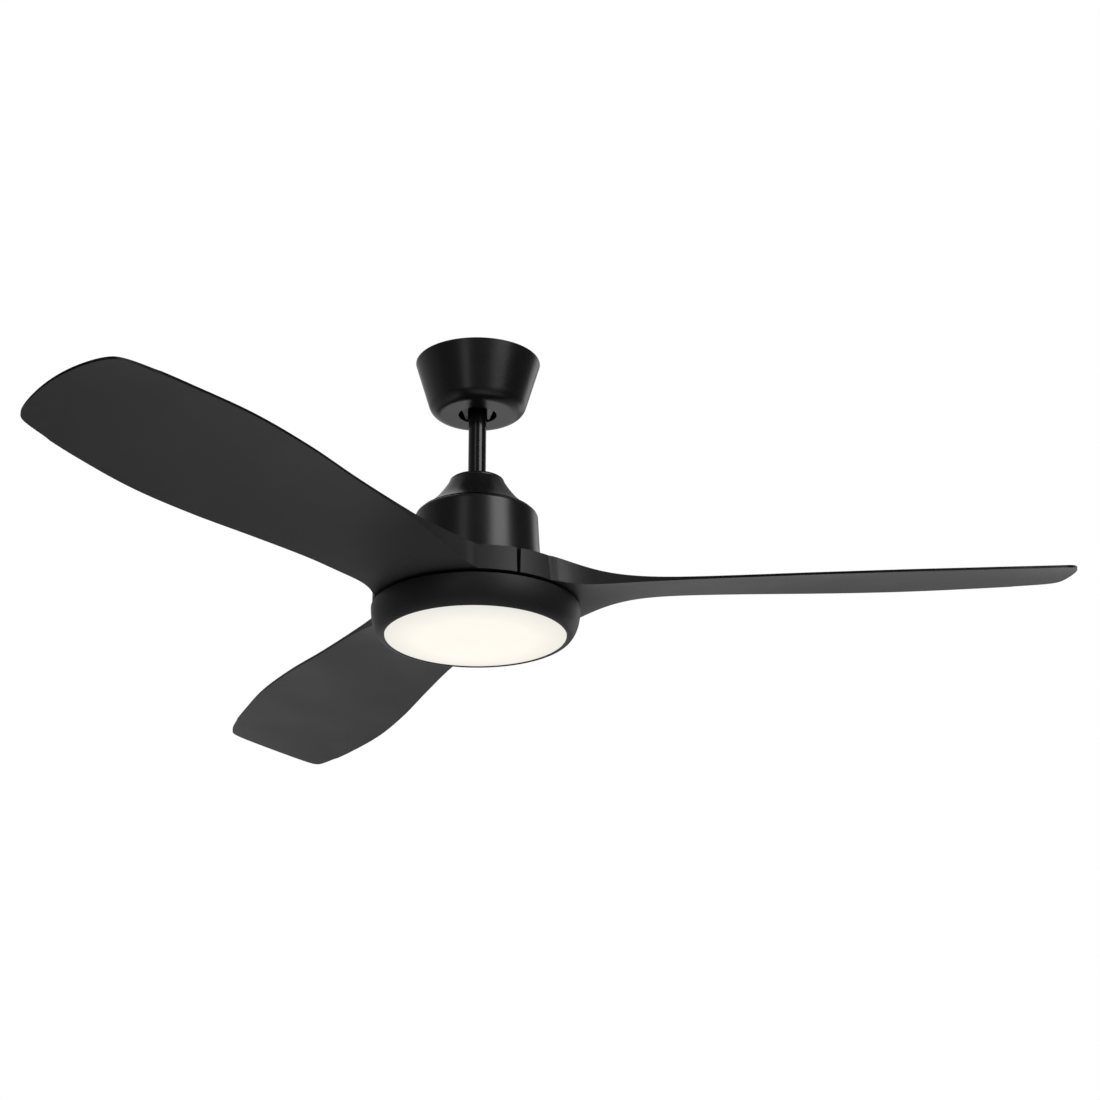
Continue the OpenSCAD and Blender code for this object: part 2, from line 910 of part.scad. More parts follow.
// A flat piece of ring that spans one blade's share of the hub.
module hub_sector(r_out, r_in, top, low, seam, slope = 0) {
    half = pitch_angle / 2;
    h = low - top;
    edge = slope > 0 ? [[r_out, h - slope], [r_out - 2.6 * slope, h]] : [[r_out, h]];
    difference() {
        rotate([0, 0, -half])
            translate([0, 0, -low])
                rotate_extrude(angle = pitch_angle, $fn = 160)
                    polygon(concat([[r_in, 0], [r_out, 0]], edge, [[r_in, h]]));
        for (side = [-1, 1])
            rotate([0, 0, side * half])
                translate([0, -seam / 2, -low - 1])
                    cube([r_out + 1, seam, h + 2]);
    }
}

module blade_pads() color("#2a2a2a")
    difference() {
        for (i = [0:blade_n - 1])
            rotate([0, 0, first_blade + i * pitch_angle])
                hub_sector(carrier_r - 1, hub_in + 1, carrier_low, hub_top, hub_seam + 4);
        blade_bolts()
            cylinder(r = 2.8, h = 10, center = true);
    }

module blade_screws() color(steel)
    blade_bolts()
        translate([0, 0, -pad_t - 8])
            screw_up(2.5, 12, 4.5, 3);

// Smooth curve through a column of the outline table, at distance r from the axis.
function seg(r, i = 0) = (i >= len(outline) - 2 || outline[i + 1][0] >= r) ? i : seg(r, i + 1);
function tilt(i, c) = let (a = max(i - 1, 0), b = min(i + 1, len(outline) - 1))
    (outline[b][c] - outline[a][c]) / (outline[b][0] - outline[a][0]);
function reach(r, c) = let (i = seg(r), span = outline[i + 1][0] - outline[i][0], t = (r - outline[i][0]) / span)
    (2 * pow(t, 3) - 3 * t * t + 1) * outline[i][c] + (pow(t, 3) - 2 * t * t + t) * span * tilt(i, c)
    + (3 * t * t - 2 * pow(t, 3)) * outline[i + 1][c] + (pow(t, 3) - t * t) * span * tilt(i + 1, c);

// Reach of an edge once the bowed tip cuts across it; way is 1 for the leading edge and -1 for the trailing one.
function tip_cut(r, edge, way) = let (
        across = way * tip_shift + tip_span * sqrt(max(0, tip_r - r) / tip_bulge),
        cut = (edge + across - norm([edge - across, tip_soft])) / 2
    ) edge + (cut - edge) * min(1, max(0, (r - tip_r + 80) / 30));

// Blade height: nearly as tall as the hub at the root, thin further out.
function edge_h(r) = r <= hub_r ? hub_edge_h - 2 * root_step
    : blade_t + (hub_edge_h - 2 * root_step - blade_t) * exp(-pow((r - hub_r) / root_fade, root_power));

// How much of the pitch and of the step from the root's level to the blade's level is reached.
function turned(r) = 1 - exp(-pow(max(0, r - hub_r) / pitch_fade, pitch_power));
function level(r) = root_z + (blade_z - root_z) * turned(r)
    + tip_sweep * pow(max(0, r - sweep_from) / (outline_r - sweep_from), 2);

// A point of the blade: v across the blade, z its height; the blade lies along +X.
function on_blade(r, v, z) = [sqrt(r * r - v * v), v, z];

// One closed ring round the blade at distance r from the axis.
function blade_ring(r) = let (
        scale = outline_r / tip_r,
        wide_lead = reach(r * scale, 1),
        wide_trail = -reach(r * scale, 2),
        middle = (tip_cut(r, wide_lead, 1) - tip_cut(r, -wide_trail, -1)) / 2,
        lead = max(middle + tip_end, tip_cut(r, wide_lead, 1)),
        trail = min(middle - tip_end, -tip_cut(r, -wide_trail, -1)),
        h = edge_h(r),
        e = min(edge_round, h / 3, (lead - trail) / 3),
        bow = blade_camber * min(1, max(0, (r - hub_r) / camber_run)),
        low = function (v) level(r * scale) + v * tan(blade_pitch) * turned(r) - h / 2
            + bow * (1 - pow(2 * (v - wide_trail) / (wide_lead - wide_trail) - 1, 2))
    ) concat(
        [for (k = [0:chord_steps]) let (v = trail + e + (lead - trail - 2 * e) * k / chord_steps)
            on_blade(r, v, low(v))],
        [on_blade(r, lead, low(lead) + e), on_blade(r, lead, low(lead) + h - e)],
        [for (k = [chord_steps:-1:0]) let (v = trail + e + (lead - trail - 2 * e) * k / chord_steps)
            on_blade(r, v, low(v) + h)],
        [on_blade(r, trail, low(trail) + h - e), on_blade(r, trail, low(trail) + e)]
    );

root_stations = [94, 104, 112, 116, 121, 127, 135, 144, 155, 168, 184, 204, 228, 258];
tip_stations = [36, 28, 22, 17.5, 14.5, 12.2, 10.4, 8.6, 6.6, 4.6, 2.9, 1.6, 0.7, 0.2];
tip_span = 60;
tip_shift = -13.9;
tip_end = 2.5;
mid_steps = 10;
last_root = root_stations[len(root_stations) - 1];
stations = concat(root_stations,
    [for (i = [1:mid_steps]) last_root + (tip_r - 46 - last_root) * i / mid_steps],
    [for (d = tip_stations) tip_r - d]);

module blade_body() {
    rings = [for (r = stations) blade_ring(r)];
    n = len(rings[0]);
    last = len(rings) - 1;
    sides = [for (i = [0:last - 1]) for (k = [0:n - 1]) let (m = (k + 1) % n)
        for (f = [[i * n + k, i * n + n + m, i * n + m], [i * n + k, i * n + n + k, i * n + n + m]]) f];
    top = n - 3;
    cap = concat([for (k = [0:chord_steps - 1]) [k, k + 1, top - k - 1, top - k]],
        [[chord_steps, chord_steps + 1, chord_steps + 2, chord_steps + 3], [top, n - 2, n - 1, 0]]);
    start_cap = [for (f = cap) f];
    end_cap = [for (f = cap) [for (k = [3:-1:0]) last * n + f[k]]];
    polyhedron(points = [for (ring = rings) each ring], faces = concat(sides, start_cap, end_cap));
}

module blade(i)
    rotate([0, 0, first_blade + i * pitch_angle])
        difference() {
            union() {
                difference() {
                    rotate([0, 0, hub_turn])
                        hub_sector(hub_r, hub_in, hub_top, hub_low, hub_seam, hub_slope);
                    translate([0, 0, -hub_low - 1])
                        rotate([0, 0, -48])
                            rotate_extrude(angle = 96)
                                translate([44, 0])
                                    square([30, hub_h - 7]);
                }
                blade_body();
            }
            for (k = [-1:1])
                rotate([0, 0, k * blade_bolt_a])
                    translate([blade_bolt_r, 0, -hub_low]) {
                        cylinder(r = 2.7, h = hub_h + 2);
                        translate([0, 0, -1])
                            cylinder(r = 6, h = hub_h - 7);
                    }
        }

module blade_1() color(blade_grey)
    blade(0);

module blade_2() color(blade_grey)
    blade(1);

module blade_3() color(blade_grey)
    blade(2);

// ---------- light ----------

ring_steps = 16;
function ring_line(inset) = [for (i = [0:ring_steps]) let (a = 90 * i / ring_steps)
    [lip_r + (ring_r - lip_r - inset) * cos(a), -ring_curve_top - (ring_low - ring_curve_top - inset) * sin(a)]];

module ring_section() {
    shoulder = 5;
    slope = 2.3;
    polygon(concat(
        [[thread_r + 0.1, -ring_top - pan_t], [thread_r + 0.1, -ring_top], [ring_r - shoulder, -ring_top],
            [ring_r - 0.6, -ring_top - slope + 0.55], [ring_r, -ring_top - slope]],
        ring_line(0),
        [for (i = [ring_steps:-1:0]) ring_line(ring_wall)[i]],
        [[ring_r - shoulder - 1, -ring_top - pan_t]]
    ));
}

module light_ring() color(black)
    difference() {
        rotate_extrude($fn = 160)
            ring_section();
        ring_of(3, 22)
            translate([0, 0, -ring_top - 3])
                cylinder(r = screw_r + 0.02, h = 4);
        ring_of(3, post_ring, 60)
            translate([0, 0, -ring_top - 3])
                cylinder(r = 1.52, h = 4);
        for (side = [-1, 1])
            translate([side * 35, 48, -ring_top - 3])
                cylinder(r = 1.52, h = 4);
    }

// One piece of a hoop round the axis, between two radii, two depths and two angles.
module hoop_piece(r_in, r_out, top, low, from, to)
    rotate([0, 0, from])
        translate([0, 0, -low])
            rotate_extrude(angle = to - from, $fn = 160)
                translate([r_in, 0])
                    square([r_out - r_in, low - top]);

// Three sheet clips hang from the ring's top; the diffuser's lugs turn onto their feet.
module bayonet_clips() color(steel)
    for (i = [0:lug_n - 1])
        rotate([0, 0, i * 360 / lug_n]) {
            hoop_piece(clip_r, clip_r + 1.5, ring_top + pan_t, shelf_top + shelf_t, -shelf_a / 2 - 2, shelf_a / 2);
            hoop_piece(99, clip_r + 1.5, shelf_top, shelf_top + shelf_t, -shelf_a / 2 - 2, shelf_a / 2);
            hoop_piece(99, clip_r + 1, shelf_top - 3, shelf_top + shelf_t, -shelf_a / 2 - 2, -shelf_a / 2);
        }

module light_plate() color(steel)
    difference() {
        drop(ring_top + pan_t, ring_top + pan_t + light_plate_t, light_plate_r);
        drop(ring_top, ring_top + 10, thread_r + 0.1);
        ring_of(3, 22)
            translate([0, 0, -ring_top - 5])
                cylinder(r = screw_r + 0.05, h = 6);
    }

washer_top = ring_top + pan_t + light_plate_t;

module lock_washer() color("silver")
    difference() {
        drop_tube(washer_top, washer_top + 1, 11, thread_r + 0.1);
        translate([0, -0.5, -washer_top - 2])
            cube([12, 1, 3]);
    }

module shaft_nut() color("silver")
    difference() {
        translate([0, 0, -washer_top - 7])
            cylinder(r = 11.5, h = 6, $fn = 6);
        drop(washer_top - 1, washer_top + 8, thread_r + 0.02);
    }

module ring_screws() color(steel)
    ring_of(3, 22)
        translate([0, 0, -washer_top])
            screw_up(screw_r, light_plate_t + pan_t, 3.6, 2.2);

module led_driver() color("whitesmoke")
    difference() {
        union() {
            translate([-30, 31, -ring_top - pan_t - 19])
                cube([60, 34, 19]);
            translate([-40, 42, -ring_top - pan_t - 2])
                cube([80, 12, 2]);
        }
        for (side = [-1, 1])
            translate([side * 35, 48, -ring_top - 5])
                cylinder(r = 1.6, h = 6);
    }

module driver_screws() color(steel)
    for (side = [-1, 1])
        translate([side * 35, 48, -ring_top - pan_t - 2])
            screw_up(1.5, 3.3, 2.8, 1.8);

// The light's cable leaves the shaft and bends into the driver.
elbow = 6;
light_lead_r = lead_r;

module light_lead() color("dimgray") {
    translate([0, 0, -306])
        cylinder(r = light_lead_r, h = 5);
    translate([0, elbow, -306])
        rotate([0, 90, 0])
            rotate([0, 0, -90])
                rotate_extrude(angle = 90)
                    translate([elbow, 0])
                        circle(r = light_lead_r);
    along_y(0, elbow, -306 - elbow, light_lead_r, 31 - elbow);
}

module board_posts() color("gold")
    ring_of(3, post_ring, 60)
        difference() {
            translate([0, 0, -board_z])
                cylinder(r = post_r, h = board_z - ring_top - pan_t, $fn = 6);
            translate([0, 0, -board_z - 1])
                cylinder(r = 1.52, h = 9);
        }

module led_board() color("white")
    difference() {
        drop_tube(board_z, board_z + board_t, board_r, 12);
        ring_of(3, post_ring, 60)
            translate([0, 0, -board_z - 3])
                cylinder(r = 1.6, h = 4);
    }

// Rings of LED chips: how many, and how far from the axis.
chip_rings = [[6, 26], [12, 50], [18, 84]];

module led_chips() color("lightyellow")
    for (ring = chip_rings)
        ring_of(ring[0], ring[1], 8)
            translate([0, 0, -board_z - board_t - 0.4])
                cube([3, 3, 0.8], center = true);

module board_screws() color(steel)
    ring_of(3, post_ring, 60)
        translate([0, 0, -board_z - board_t])
            screw_up(1.5, board_t + 6, 2.8, 1.8);

crown_steps = 12;
function crown(r) = -diffuser_edge - diffuser_crown * (1 - pow(r / diffuser_r, 2));

module diffuser_section() {
    edge = diffuser_r - 0.5;
    outer = [for (i = [0:crown_steps]) [edge * i / crown_steps, crown(edge * i / crown_steps)]];
    inner = [for (i = [crown_steps:-1:0]) [edge * i / crown_steps, crown(edge * i / crown_steps) + diffuser_t]];
    polygon(concat(outer, [[diffuser_r, -diffuser_edge + 0.5], [diffuser_r, -diffuser_edge + diffuser_t]], inner));
    translate([skirt_r - skirt_t, -diffuser_edge + 1])
        square([skirt_t, diffuser_edge - shelf_top + lug_t + lug_gap]);
}

module diffuser() color("#fdfaf0") {
    rotate_extrude($fn = 160)
        diffuser_section();
    for (i = [0:lug_n - 1])
        rotate([0, 0, i * 360 / lug_n - lug_a / 2])
            translate([0, 0, -shelf_top + lug_gap])
                rotate_extrude(angle = lug_a)
                    translate([skirt_r - 0.3, 0])
                        square([5.2, lug_t]);
}

hanger_bracket();
canopy();
canopy_screws();
terminal_block();
terminal_screws();
earth_screw();
receiver_box();
live_lead();
neutral_lead();
ball_liner();
hanger_ball();
ball_pin();
ball_screw();
downrod();
motor_lead();
lead_plug();
rod_coupler();
coupler_pin();
pin_clip();
coupler_screws();
coupling_cover();
motor_housing();
housing_plate();
plate_screws();
housing_screws();
motor_shaft();
stator_hub();
stator_core();
stator_coils();
motor_board();
bearing_inner_races();
light_ring();
bayonet_clips();
light_plate();
lock_washer();
shaft_nut();
ring_screws();
led_driver();
driver_screws();
light_lead();
board_posts();
led_board();
led_chips();
board_screws();
rotor_case_top();
rotor_case_bottom();
case_screws();
magnets();
bearing_outer_races();
bearing_balls();
blade_carrier();
carrier_screws();
blade_pads();
blade_1();
blade_2();
blade_3();
blade_screws();
diffuser();
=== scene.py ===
"""The looks of a black three-blade ceiling fan with a flat round light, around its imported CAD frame.

Metres, in the frame's own axes: the origin is on the ceiling, +Z points up into it, and the camera's
side of the fan is -Y.
"""

import json
import math

import bmesh
import bpy
from mathutils import Matrix, Vector

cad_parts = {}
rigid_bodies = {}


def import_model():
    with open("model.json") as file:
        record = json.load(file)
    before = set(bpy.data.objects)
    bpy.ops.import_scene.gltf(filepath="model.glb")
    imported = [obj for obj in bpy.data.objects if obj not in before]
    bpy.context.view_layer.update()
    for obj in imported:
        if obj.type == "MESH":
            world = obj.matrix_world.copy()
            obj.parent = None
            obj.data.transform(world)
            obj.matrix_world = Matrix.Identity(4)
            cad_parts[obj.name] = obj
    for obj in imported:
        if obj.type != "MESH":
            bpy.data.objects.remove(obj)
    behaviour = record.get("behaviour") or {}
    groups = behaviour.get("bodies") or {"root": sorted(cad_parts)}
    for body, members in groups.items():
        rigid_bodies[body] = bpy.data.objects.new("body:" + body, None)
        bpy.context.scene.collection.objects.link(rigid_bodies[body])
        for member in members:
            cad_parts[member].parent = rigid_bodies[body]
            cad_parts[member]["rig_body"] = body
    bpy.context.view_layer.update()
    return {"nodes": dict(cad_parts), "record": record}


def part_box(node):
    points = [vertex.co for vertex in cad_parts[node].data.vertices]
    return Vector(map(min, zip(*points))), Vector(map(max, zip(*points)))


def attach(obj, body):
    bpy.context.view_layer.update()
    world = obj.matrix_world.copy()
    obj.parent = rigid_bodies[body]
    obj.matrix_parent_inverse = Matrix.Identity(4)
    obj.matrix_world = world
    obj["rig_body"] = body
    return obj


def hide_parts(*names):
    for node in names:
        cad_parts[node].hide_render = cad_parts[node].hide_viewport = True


MM = 0.001
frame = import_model()

# ---------- sizes, from the frame where it gives them ----------

canopy_low, canopy_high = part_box("canopy")
cover_low, cover_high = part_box("coupling_cover")
housing_low, housing_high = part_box("motor_housing")
ring_low, ring_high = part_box("light_ring")
diffuser_low, diffuser_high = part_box("diffuser")

EDGE = 0.35 * MM               # rounding of a sheet-metal edge
TURN_STEPS = 224               # facets round a turned shell
TINY = 1e-9                    # a length below this counts as none
WELD = 1e-7                    # points closer than this become one
BEND_KEPT = 0.35               # radians; an outline's bends that are flatter than this aren't rounded
CORNER_STEPS = 4               # facets of a rounded corner
CORNER_SHARE = 0.45            # a rounding takes up at most this share of either side of its corner
HOLD_SHARE = 0.2               # the point that keeps a side straight lies at most this share beyond it


def polar(radius, angle):
    """A point at this radius and this angle in degrees."""
    return radius * math.cos(math.radians(angle)), radius * math.sin(math.radians(angle))


def clamped(value):
    """The value, kept within 0 to 1."""
    return min(1.0, max(0.0, value))


# ---------- outlines ----------

def arc(centre, radius, start, end, steps=8):
    """Points on an arc in the outline's plane, angles in degrees."""
    points = []
    for i in range(steps + 1):
        dx, dz = polar(radius, start + (end - start) * i / steps)
        points.append((centre[0] + dx, centre[1] + dz))
    return points


def soften(points, radius=EDGE):
    """A closed outline with its corners rounded."""
    out = []
    count = len(points)
    for i, point in enumerate(points):
        here = Vector(point)
        before = here - Vector(points[i - 1])
        after = Vector(points[(i + 1) % count]) - here
        if before.length < TINY or after.length < TINY:
            continue
        turn = before.angle(after)
        if turn < BEND_KEPT:
            out.append(here)
            continue
        room = CORNER_SHARE * min(before.length, after.length)
        into = min(radius * math.tan(turn / 2), room)
        first, last = here - before.normalized() * into, here + after.normalized() * into
        out.append(first - before.normalized() * min(into, HOLD_SHARE * before.length))
        for k in range(CORNER_STEPS + 1):
            t = k / CORNER_STEPS
            out.append(first * (1 - t) ** 2 + here * 2 * t * (1 - t) + last * t * t)
        out.append(last + after.normalized() * min(into, HOLD_SHARE * after.length))
    return out


def mesh_object(name, bm):
    """A finished object from a bmesh, welded and with its faces pointing outward."""
    bmesh.ops.remove_doubles(bm, verts=bm.verts, dist=WELD)
    bmesh.ops.recalc_face_normals(bm, faces=bm.faces)
    mesh = bpy.data.meshes.new(name)
    bm.to_mesh(mesh)
    bm.free()
    obj = bpy.data.objects.new(name, mesh)
    bpy.context.scene.collection.objects.link(obj)
    return obj


def smooth(obj, angle=32):
    """Smooth shading with even highlights on flats, and hard lines only where the mesh really turns."""
    obj.data.shade_smooth()
    obj.data.set_sharp_from_angle(angle=math.radians(angle))
    weighted = obj.modifiers.new("even_highlights", "WEIGHTED_NORMAL")
    weighted.keep_sharp = True
    return obj


def turned(name, outline):
    """A solid of revolution about the fan's axis, from a closed outline of (radius, height)."""
    bm = bmesh.new()
    rings = []
    for k in range(TURN_STEPS):
        ring = []
        for radius, height in outline:
            x, y = polar(radius, 360 * k / TURN_STEPS)
            ring.append(bm.verts.new((x, y, height)))
        rings.append(ring)
    count = len(outline)
    for k in range(TURN_STEPS):
        a, b = rings[k], rings[(k + 1) % TURN_STEPS]
        for i in range(count):
            j = (i + 1) % count
            if outline[i][0] < TINY and outline[j][0] < TINY:
                continue
            bm.faces.new((a[i], b[i], b[j], a[j]))
    return smooth(mesh_object(name, bm))


# ---------- materials ----------

class Finish:
    """One procedural material. Even values sit on the shader's own sockets."""

    def __init__(self, name, colour, roughness, metallic=0.0, specular=0.5):
        self.material = bpy.data.materials.new(name)
        self.material.use_nodes = True
        self.nodes = self.material.node_tree.nodes
        self.links = self.material.node_tree.links
        self.shader = self.nodes["Principled BSDF"]
        self.set("Base Color", (*colour, 1))
        self.set("Roughness", roughness)
        self.set("Metallic", metallic)
        self.set("Specular IOR Level", specular)
        self.colour, self.roughness = colour, roughness
        self.place = self.nodes.new("ShaderNodeTexCoord").outputs["Object"]

    def set(self, socket, value):
        self.shader.inputs[socket].default_value = value

    def noise(self, scale, detail=3.0, stretch=(1, 1, 1)):
        """Noise whose grain is scale cells a metre, times stretch along each axis."""
        mapping = self.nodes.new("ShaderNodeMapping")
        mapping.inputs["Scale"].default_value = stretch
        self.links.new(self.place, mapping.inputs["Vector"])
        noise = self.nodes.new("ShaderNodeTexNoise")
        noise.inputs["Scale"].default_value = scale
        noise.inputs["Detail"].default_value = detail
        self.links.new(mapping.outputs["Vector"], noise.inputs["Vector"])
        return noise.outputs["Fac"]

    def layers(self, scale):
        """Level bands one above the other, closer the greater the scale."""
        wave = self.nodes.new("ShaderNodeTexWave")
        wave.bands_direction = "Z"
        wave.inputs["Scale"].default_value = scale
        self.links.new(self.place, wave.inputs["Vector"])
        return wave.outputs["Fac"]

    def span(self, value, low, high, start=0.3, end=0.7):
        """A value stretched from start..end to low..high."""
        node = self.nodes.new("ShaderNodeMapRange")
        node.inputs["From Min"].default_value = start
        node.inputs["From Max"].default_value = end
        node.inputs["To Min"].default_value = low
        node.inputs["To Max"].default_value = high
        self.links.new(value, node.inputs["Value"])
        return node.outputs["Result"]

    def from_axis(self, y=0.0):
        """Distance from the fan's axis, or from an upright line at y behind it."""
        flat = self.nodes.new("ShaderNodeMapping")
        flat.inputs["Scale"].default_value = (1, 1, 0)
        flat.inputs["Location"].default_value = (0, -y, 0)
        self.links.new(self.place, flat.inputs["Vector"])
        length = self.nodes.new("ShaderNodeVectorMath")
        length.operation = "LENGTH"
        self.links.new(flat.outputs["Vector"], length.inputs[0])
        return length.outputs["Value"]

    def blend(self, value, first, second, socket="Base Color"):
        """A colour that goes from the first to the second as the value goes from 0 to 1."""
        mix = self.nodes.new("ShaderNodeMix")
        mix.data_type = "RGBA"
        mix.inputs["A"].default_value = (*first, 1)
        mix.inputs["B"].default_value = (*second, 1)
        self.links.new(value, mix.inputs["Factor"])
        self.links.new(mix.outputs["Result"], self.shader.inputs[socket])

    def tint(self, value, other):
        """Base colour that wanders from the material's own towards another."""
        self.blend(self.span(value, 0, 1), self.colour, other)

    def wander(self, value, amount):
        """Roughness that varies by amount either way."""
        varied = self.span(value, self.roughness - amount, self.roughness + amount)
        self.links.new(varied, self.shader.inputs["Roughness"])

    def bump(self, value, depth):
        """Relief of this depth in metres."""
        node = self.nodes.new("ShaderNodeBump")
        node.inputs["Strength"].default_value = 1.0
        node.inputs["Distance"].default_value = depth
        self.links.new(value, node.inputs["Height"])
        self.links.new(node.outputs["Normal"], self.shader.inputs["Normal"])


def darker(colour, share):
    """This share of a colour's brightness."""
    return tuple(c * share for c in colour)


def painted_black():
    """Satin black powder coat: a faint orange peel and slightly uneven gloss."""
    finish = Finish("black_paint", (0.0085, 0.0085, 0.009), 0.3)
    finish.wander(finish.noise(14), 0.035)
    finish.tint(finish.noise(420, 4), (0.012, 0.012, 0.0125))
    finish.bump(finish.noise(650, 2), 0.012 * MM)
    return finish.material


def rod_black():
    """Gloss black enamel, smoother than the powder coat."""
    finish = Finish("rod_black", (0.008, 0.008, 0.0085), 0.17)
    finish.wander(finish.noise(18), 0.025)
    finish.tint(finish.noise(500, 3), (0.0105, 0.0105, 0.011))
    finish.bump(finish.noise(500, 2), 0.004 * MM)
    return finish.material


def blade_plastic():
    """Moulded matte plastic with a fine spark-eroded grain."""
    finish = Finish("blade_plastic", (0.0295, 0.0295, 0.03), 0.5, specular=0.35)
    finish.wander(finish.noise(9), 0.03)
    finish.tint(finish.noise(1500, 3), (0.028, 0.028, 0.029))
    finish.bump(finish.noise(2600, 3), 0.02 * MM)
    return finish.material


EDGE_SHADE_FROM, EDGE_SHADE_TO = 150 * MM, 270 * MM      # painted shade darkens the blades' edges between these radii


def blade_edge():
    """The blades' edges: like their faces at the root, darker with painted shade and smoother where they
    get thin.
    """
    root, edge_shade = (0.0265, 0.0265, 0.027), (0.004, 0.004, 0.0042)
    finish = Finish("blade_edge", root, 0.4, specular=0.35)
    finish.wander(finish.noise(40), 0.03)
    finish.bump(finish.noise(2600, 3), 0.012 * MM)
    out = finish.from_axis()
    # painted shade: outward, the edges' colour turns almost black and their shine fades
    finish.blend(finish.span(out, 0, 1, EDGE_SHADE_FROM, EDGE_SHADE_TO), root, edge_shade)
    shine = finish.span(out, 0.35, 0.18, EDGE_SHADE_FROM, EDGE_SHADE_TO)
    finish.links.new(shine, finish.shader.inputs["Specular IOR Level"])
    return finish.material


def light_black():
    """The light's housing: matte black with a soft grain."""
    finish = Finish("light_black", (0.011, 0.011, 0.0115), 0.5, specular=0.35)
    finish.wander(finish.noise(20), 0.03)
    finish.tint(finish.noise(1400, 3), (0.014, 0.014, 0.0145))
    finish.bump(finish.noise(2400, 3), 0.016 * MM)
    return finish.material


def steel(name, colour, roughness, grain=900):
    """Bare or plated metal with a fine grain that runs level."""
    finish = Finish(name, colour, roughness, metallic=1.0)
    finish.wander(finish.noise(60), 0.07)
    finish.tint(finish.noise(grain, 4), darker(colour, 0.82))
    finish.bump(finish.noise(grain, 2, (1, 1, 6)), 0.01 * MM)
    return finish.material


def plastic(name, colour, roughness, depth=0.015 * MM):
    """Moulded plastic, rubber or paint whose grain is this deep."""
    finish = Finish(name, colour, roughness)
    finish.wander(finish.noise(40), 0.05)
    finish.tint(finish.noise(1200, 3), darker(colour, 0.88))
    finish.bump(finish.noise(1800, 3), depth)
    return finish.material


def layered(name, colour, roughness, lines, depth):
    """Metal sheet or wire laid in layers."""
    finish = Finish(name, colour, roughness, metallic=1.0)
    finish.tint(finish.noise(300, 3), darker(colour, 0.7))
    finish.wander(finish.noise(90), 0.06)
    finish.bump(finish.layers(lines), depth)
    return finish.material


GLOW_Y = 8 * MM                # the light's brightest point is this far behind the axis
GLOW_FROM, GLOW_TO = 64 * MM, 106 * MM       # its glow fades between these distances from that point


def opal():
    """The lit diffuser: warm white, a little dimmer towards its rim, most of all at the front."""
    finish = Finish("opal", (0.25, 0.245, 0.235), 0.5, specular=0.2)
    finish.wander(finish.noise(30), 0.04)
    finish.bump(finish.noise(1500, 2), 0.008 * MM)
    fading = finish.span(finish.from_axis(GLOW_Y), 0, 1, GLOW_FROM, GLOW_TO)
    finish.blend(fading, (0.885, 0.835, 0.755), (0.7, 0.69, 0.64), "Emission Color")
    finish.set("Emission Strength", 1.0)
    return finish.material


FINISHES = {
    "black_paint": painted_black(),
    "rod_black": rod_black(),
    "blade_plastic": blade_plastic(),
    "blade_edge": blade_edge(),
    "light_black": light_black(),
    "zinc_steel": steel("zinc_steel", (0.55, 0.56, 0.58), 0.38),
    "bright_steel": steel("bright_steel", (0.68, 0.69, 0.7), 0.22, 1400),
    "cast_alloy": steel("cast_alloy", (0.42, 0.425, 0.435), 0.5, 500),
    "ball_black": plastic("ball_black", (0.02, 0.02, 0.021), 0.42),
    "white_nylon": plastic("white_nylon", (0.78, 0.77, 0.72), 0.4),
    "white_plastic": plastic("white_plastic", (0.8, 0.8, 0.79), 0.35),
    "brass_screw": steel("brass_screw", (0.72, 0.52, 0.22), 0.3),
    "earth_green": plastic("earth_green", (0.05, 0.3, 0.08), 0.4),
    "brown_wire": plastic("brown_wire", (0.16, 0.07, 0.035), 0.42),
    "blue_wire": plastic("blue_wire", (0.03, 0.09, 0.42), 0.42),
    "grey_cable": plastic("grey_cable", (0.1, 0.1, 0.105), 0.5),
    "lamination": layered("lamination", (0.3, 0.31, 0.33), 0.45, 300, 0.05 * MM),
    "copper": layered("copper", (0.72, 0.3, 0.12), 0.32, 350, 0.12 * MM),
    "green_board": plastic("green_board", (0.015, 0.13, 0.045), 0.35),
    "magnet_black": steel("magnet_black", (0.12, 0.12, 0.13), 0.45, 700),
    "rubber_pad": plastic("rubber_pad", (0.02, 0.02, 0.02), 0.75, 0.04 * MM),
    "board_white": plastic("board_white", (0.85, 0.85, 0.83), 0.4),
    "chip_yellow": plastic("chip_yellow", (0.9, 0.72, 0.2), 0.3),
    "opal": opal(),
}


def dress(obj, slot):
    """The slot's finish becomes the object's only material."""
    obj.data.materials.clear()
    obj.data.materials.append(FINISHES[slot])


def stand_in(obj, node, slot):
    """obj shows instead of a CAD node, rides on the node's body and takes the slot's finish."""
    dress(obj, slot)
    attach(obj, frame["nodes"][node]["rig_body"])
    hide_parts(node)


# ---------- canopy, coupling cover, motor housing ----------

CANOPY_BASE_R = 51.7 * MM      # where the side line would meet the underside
CANOPY_FILLET = 15.9 * MM
CANOPY_HOLE_R = 21.5 * MM      # the hole that the rod comes through
CANOPY_WALL = 1.2 * MM


def canopy_outline():
    """The tapered canopy: open against the ceiling, with a hole round the rod below."""
    top_r, low = canopy_high.x, canopy_low.z
    lean = math.degrees(math.atan2(top_r - CANOPY_BASE_R, -low))
    fillet_z = low + CANOPY_FILLET
    fillet_x = (top_r + fillet_z * math.tan(math.radians(lean))
                - CANOPY_FILLET / math.cos(math.radians(lean)))
    inner_r = top_r - CANOPY_WALL / math.cos(math.radians(lean))
    outer = arc((fillet_x, fillet_z), CANOPY_FILLET, -lean, -90, steps=24)
    inner = arc((fillet_x, fillet_z), CANOPY_FILLET - CANOPY_WALL, -90, -lean, steps=24)
    return soften([
        (top_r, canopy_high.z), *outer, (CANOPY_HOLE_R, low), (CANOPY_HOLE_R, low + CANOPY_WALL),
        *inner, (inner_r, canopy_high.z),
    ])


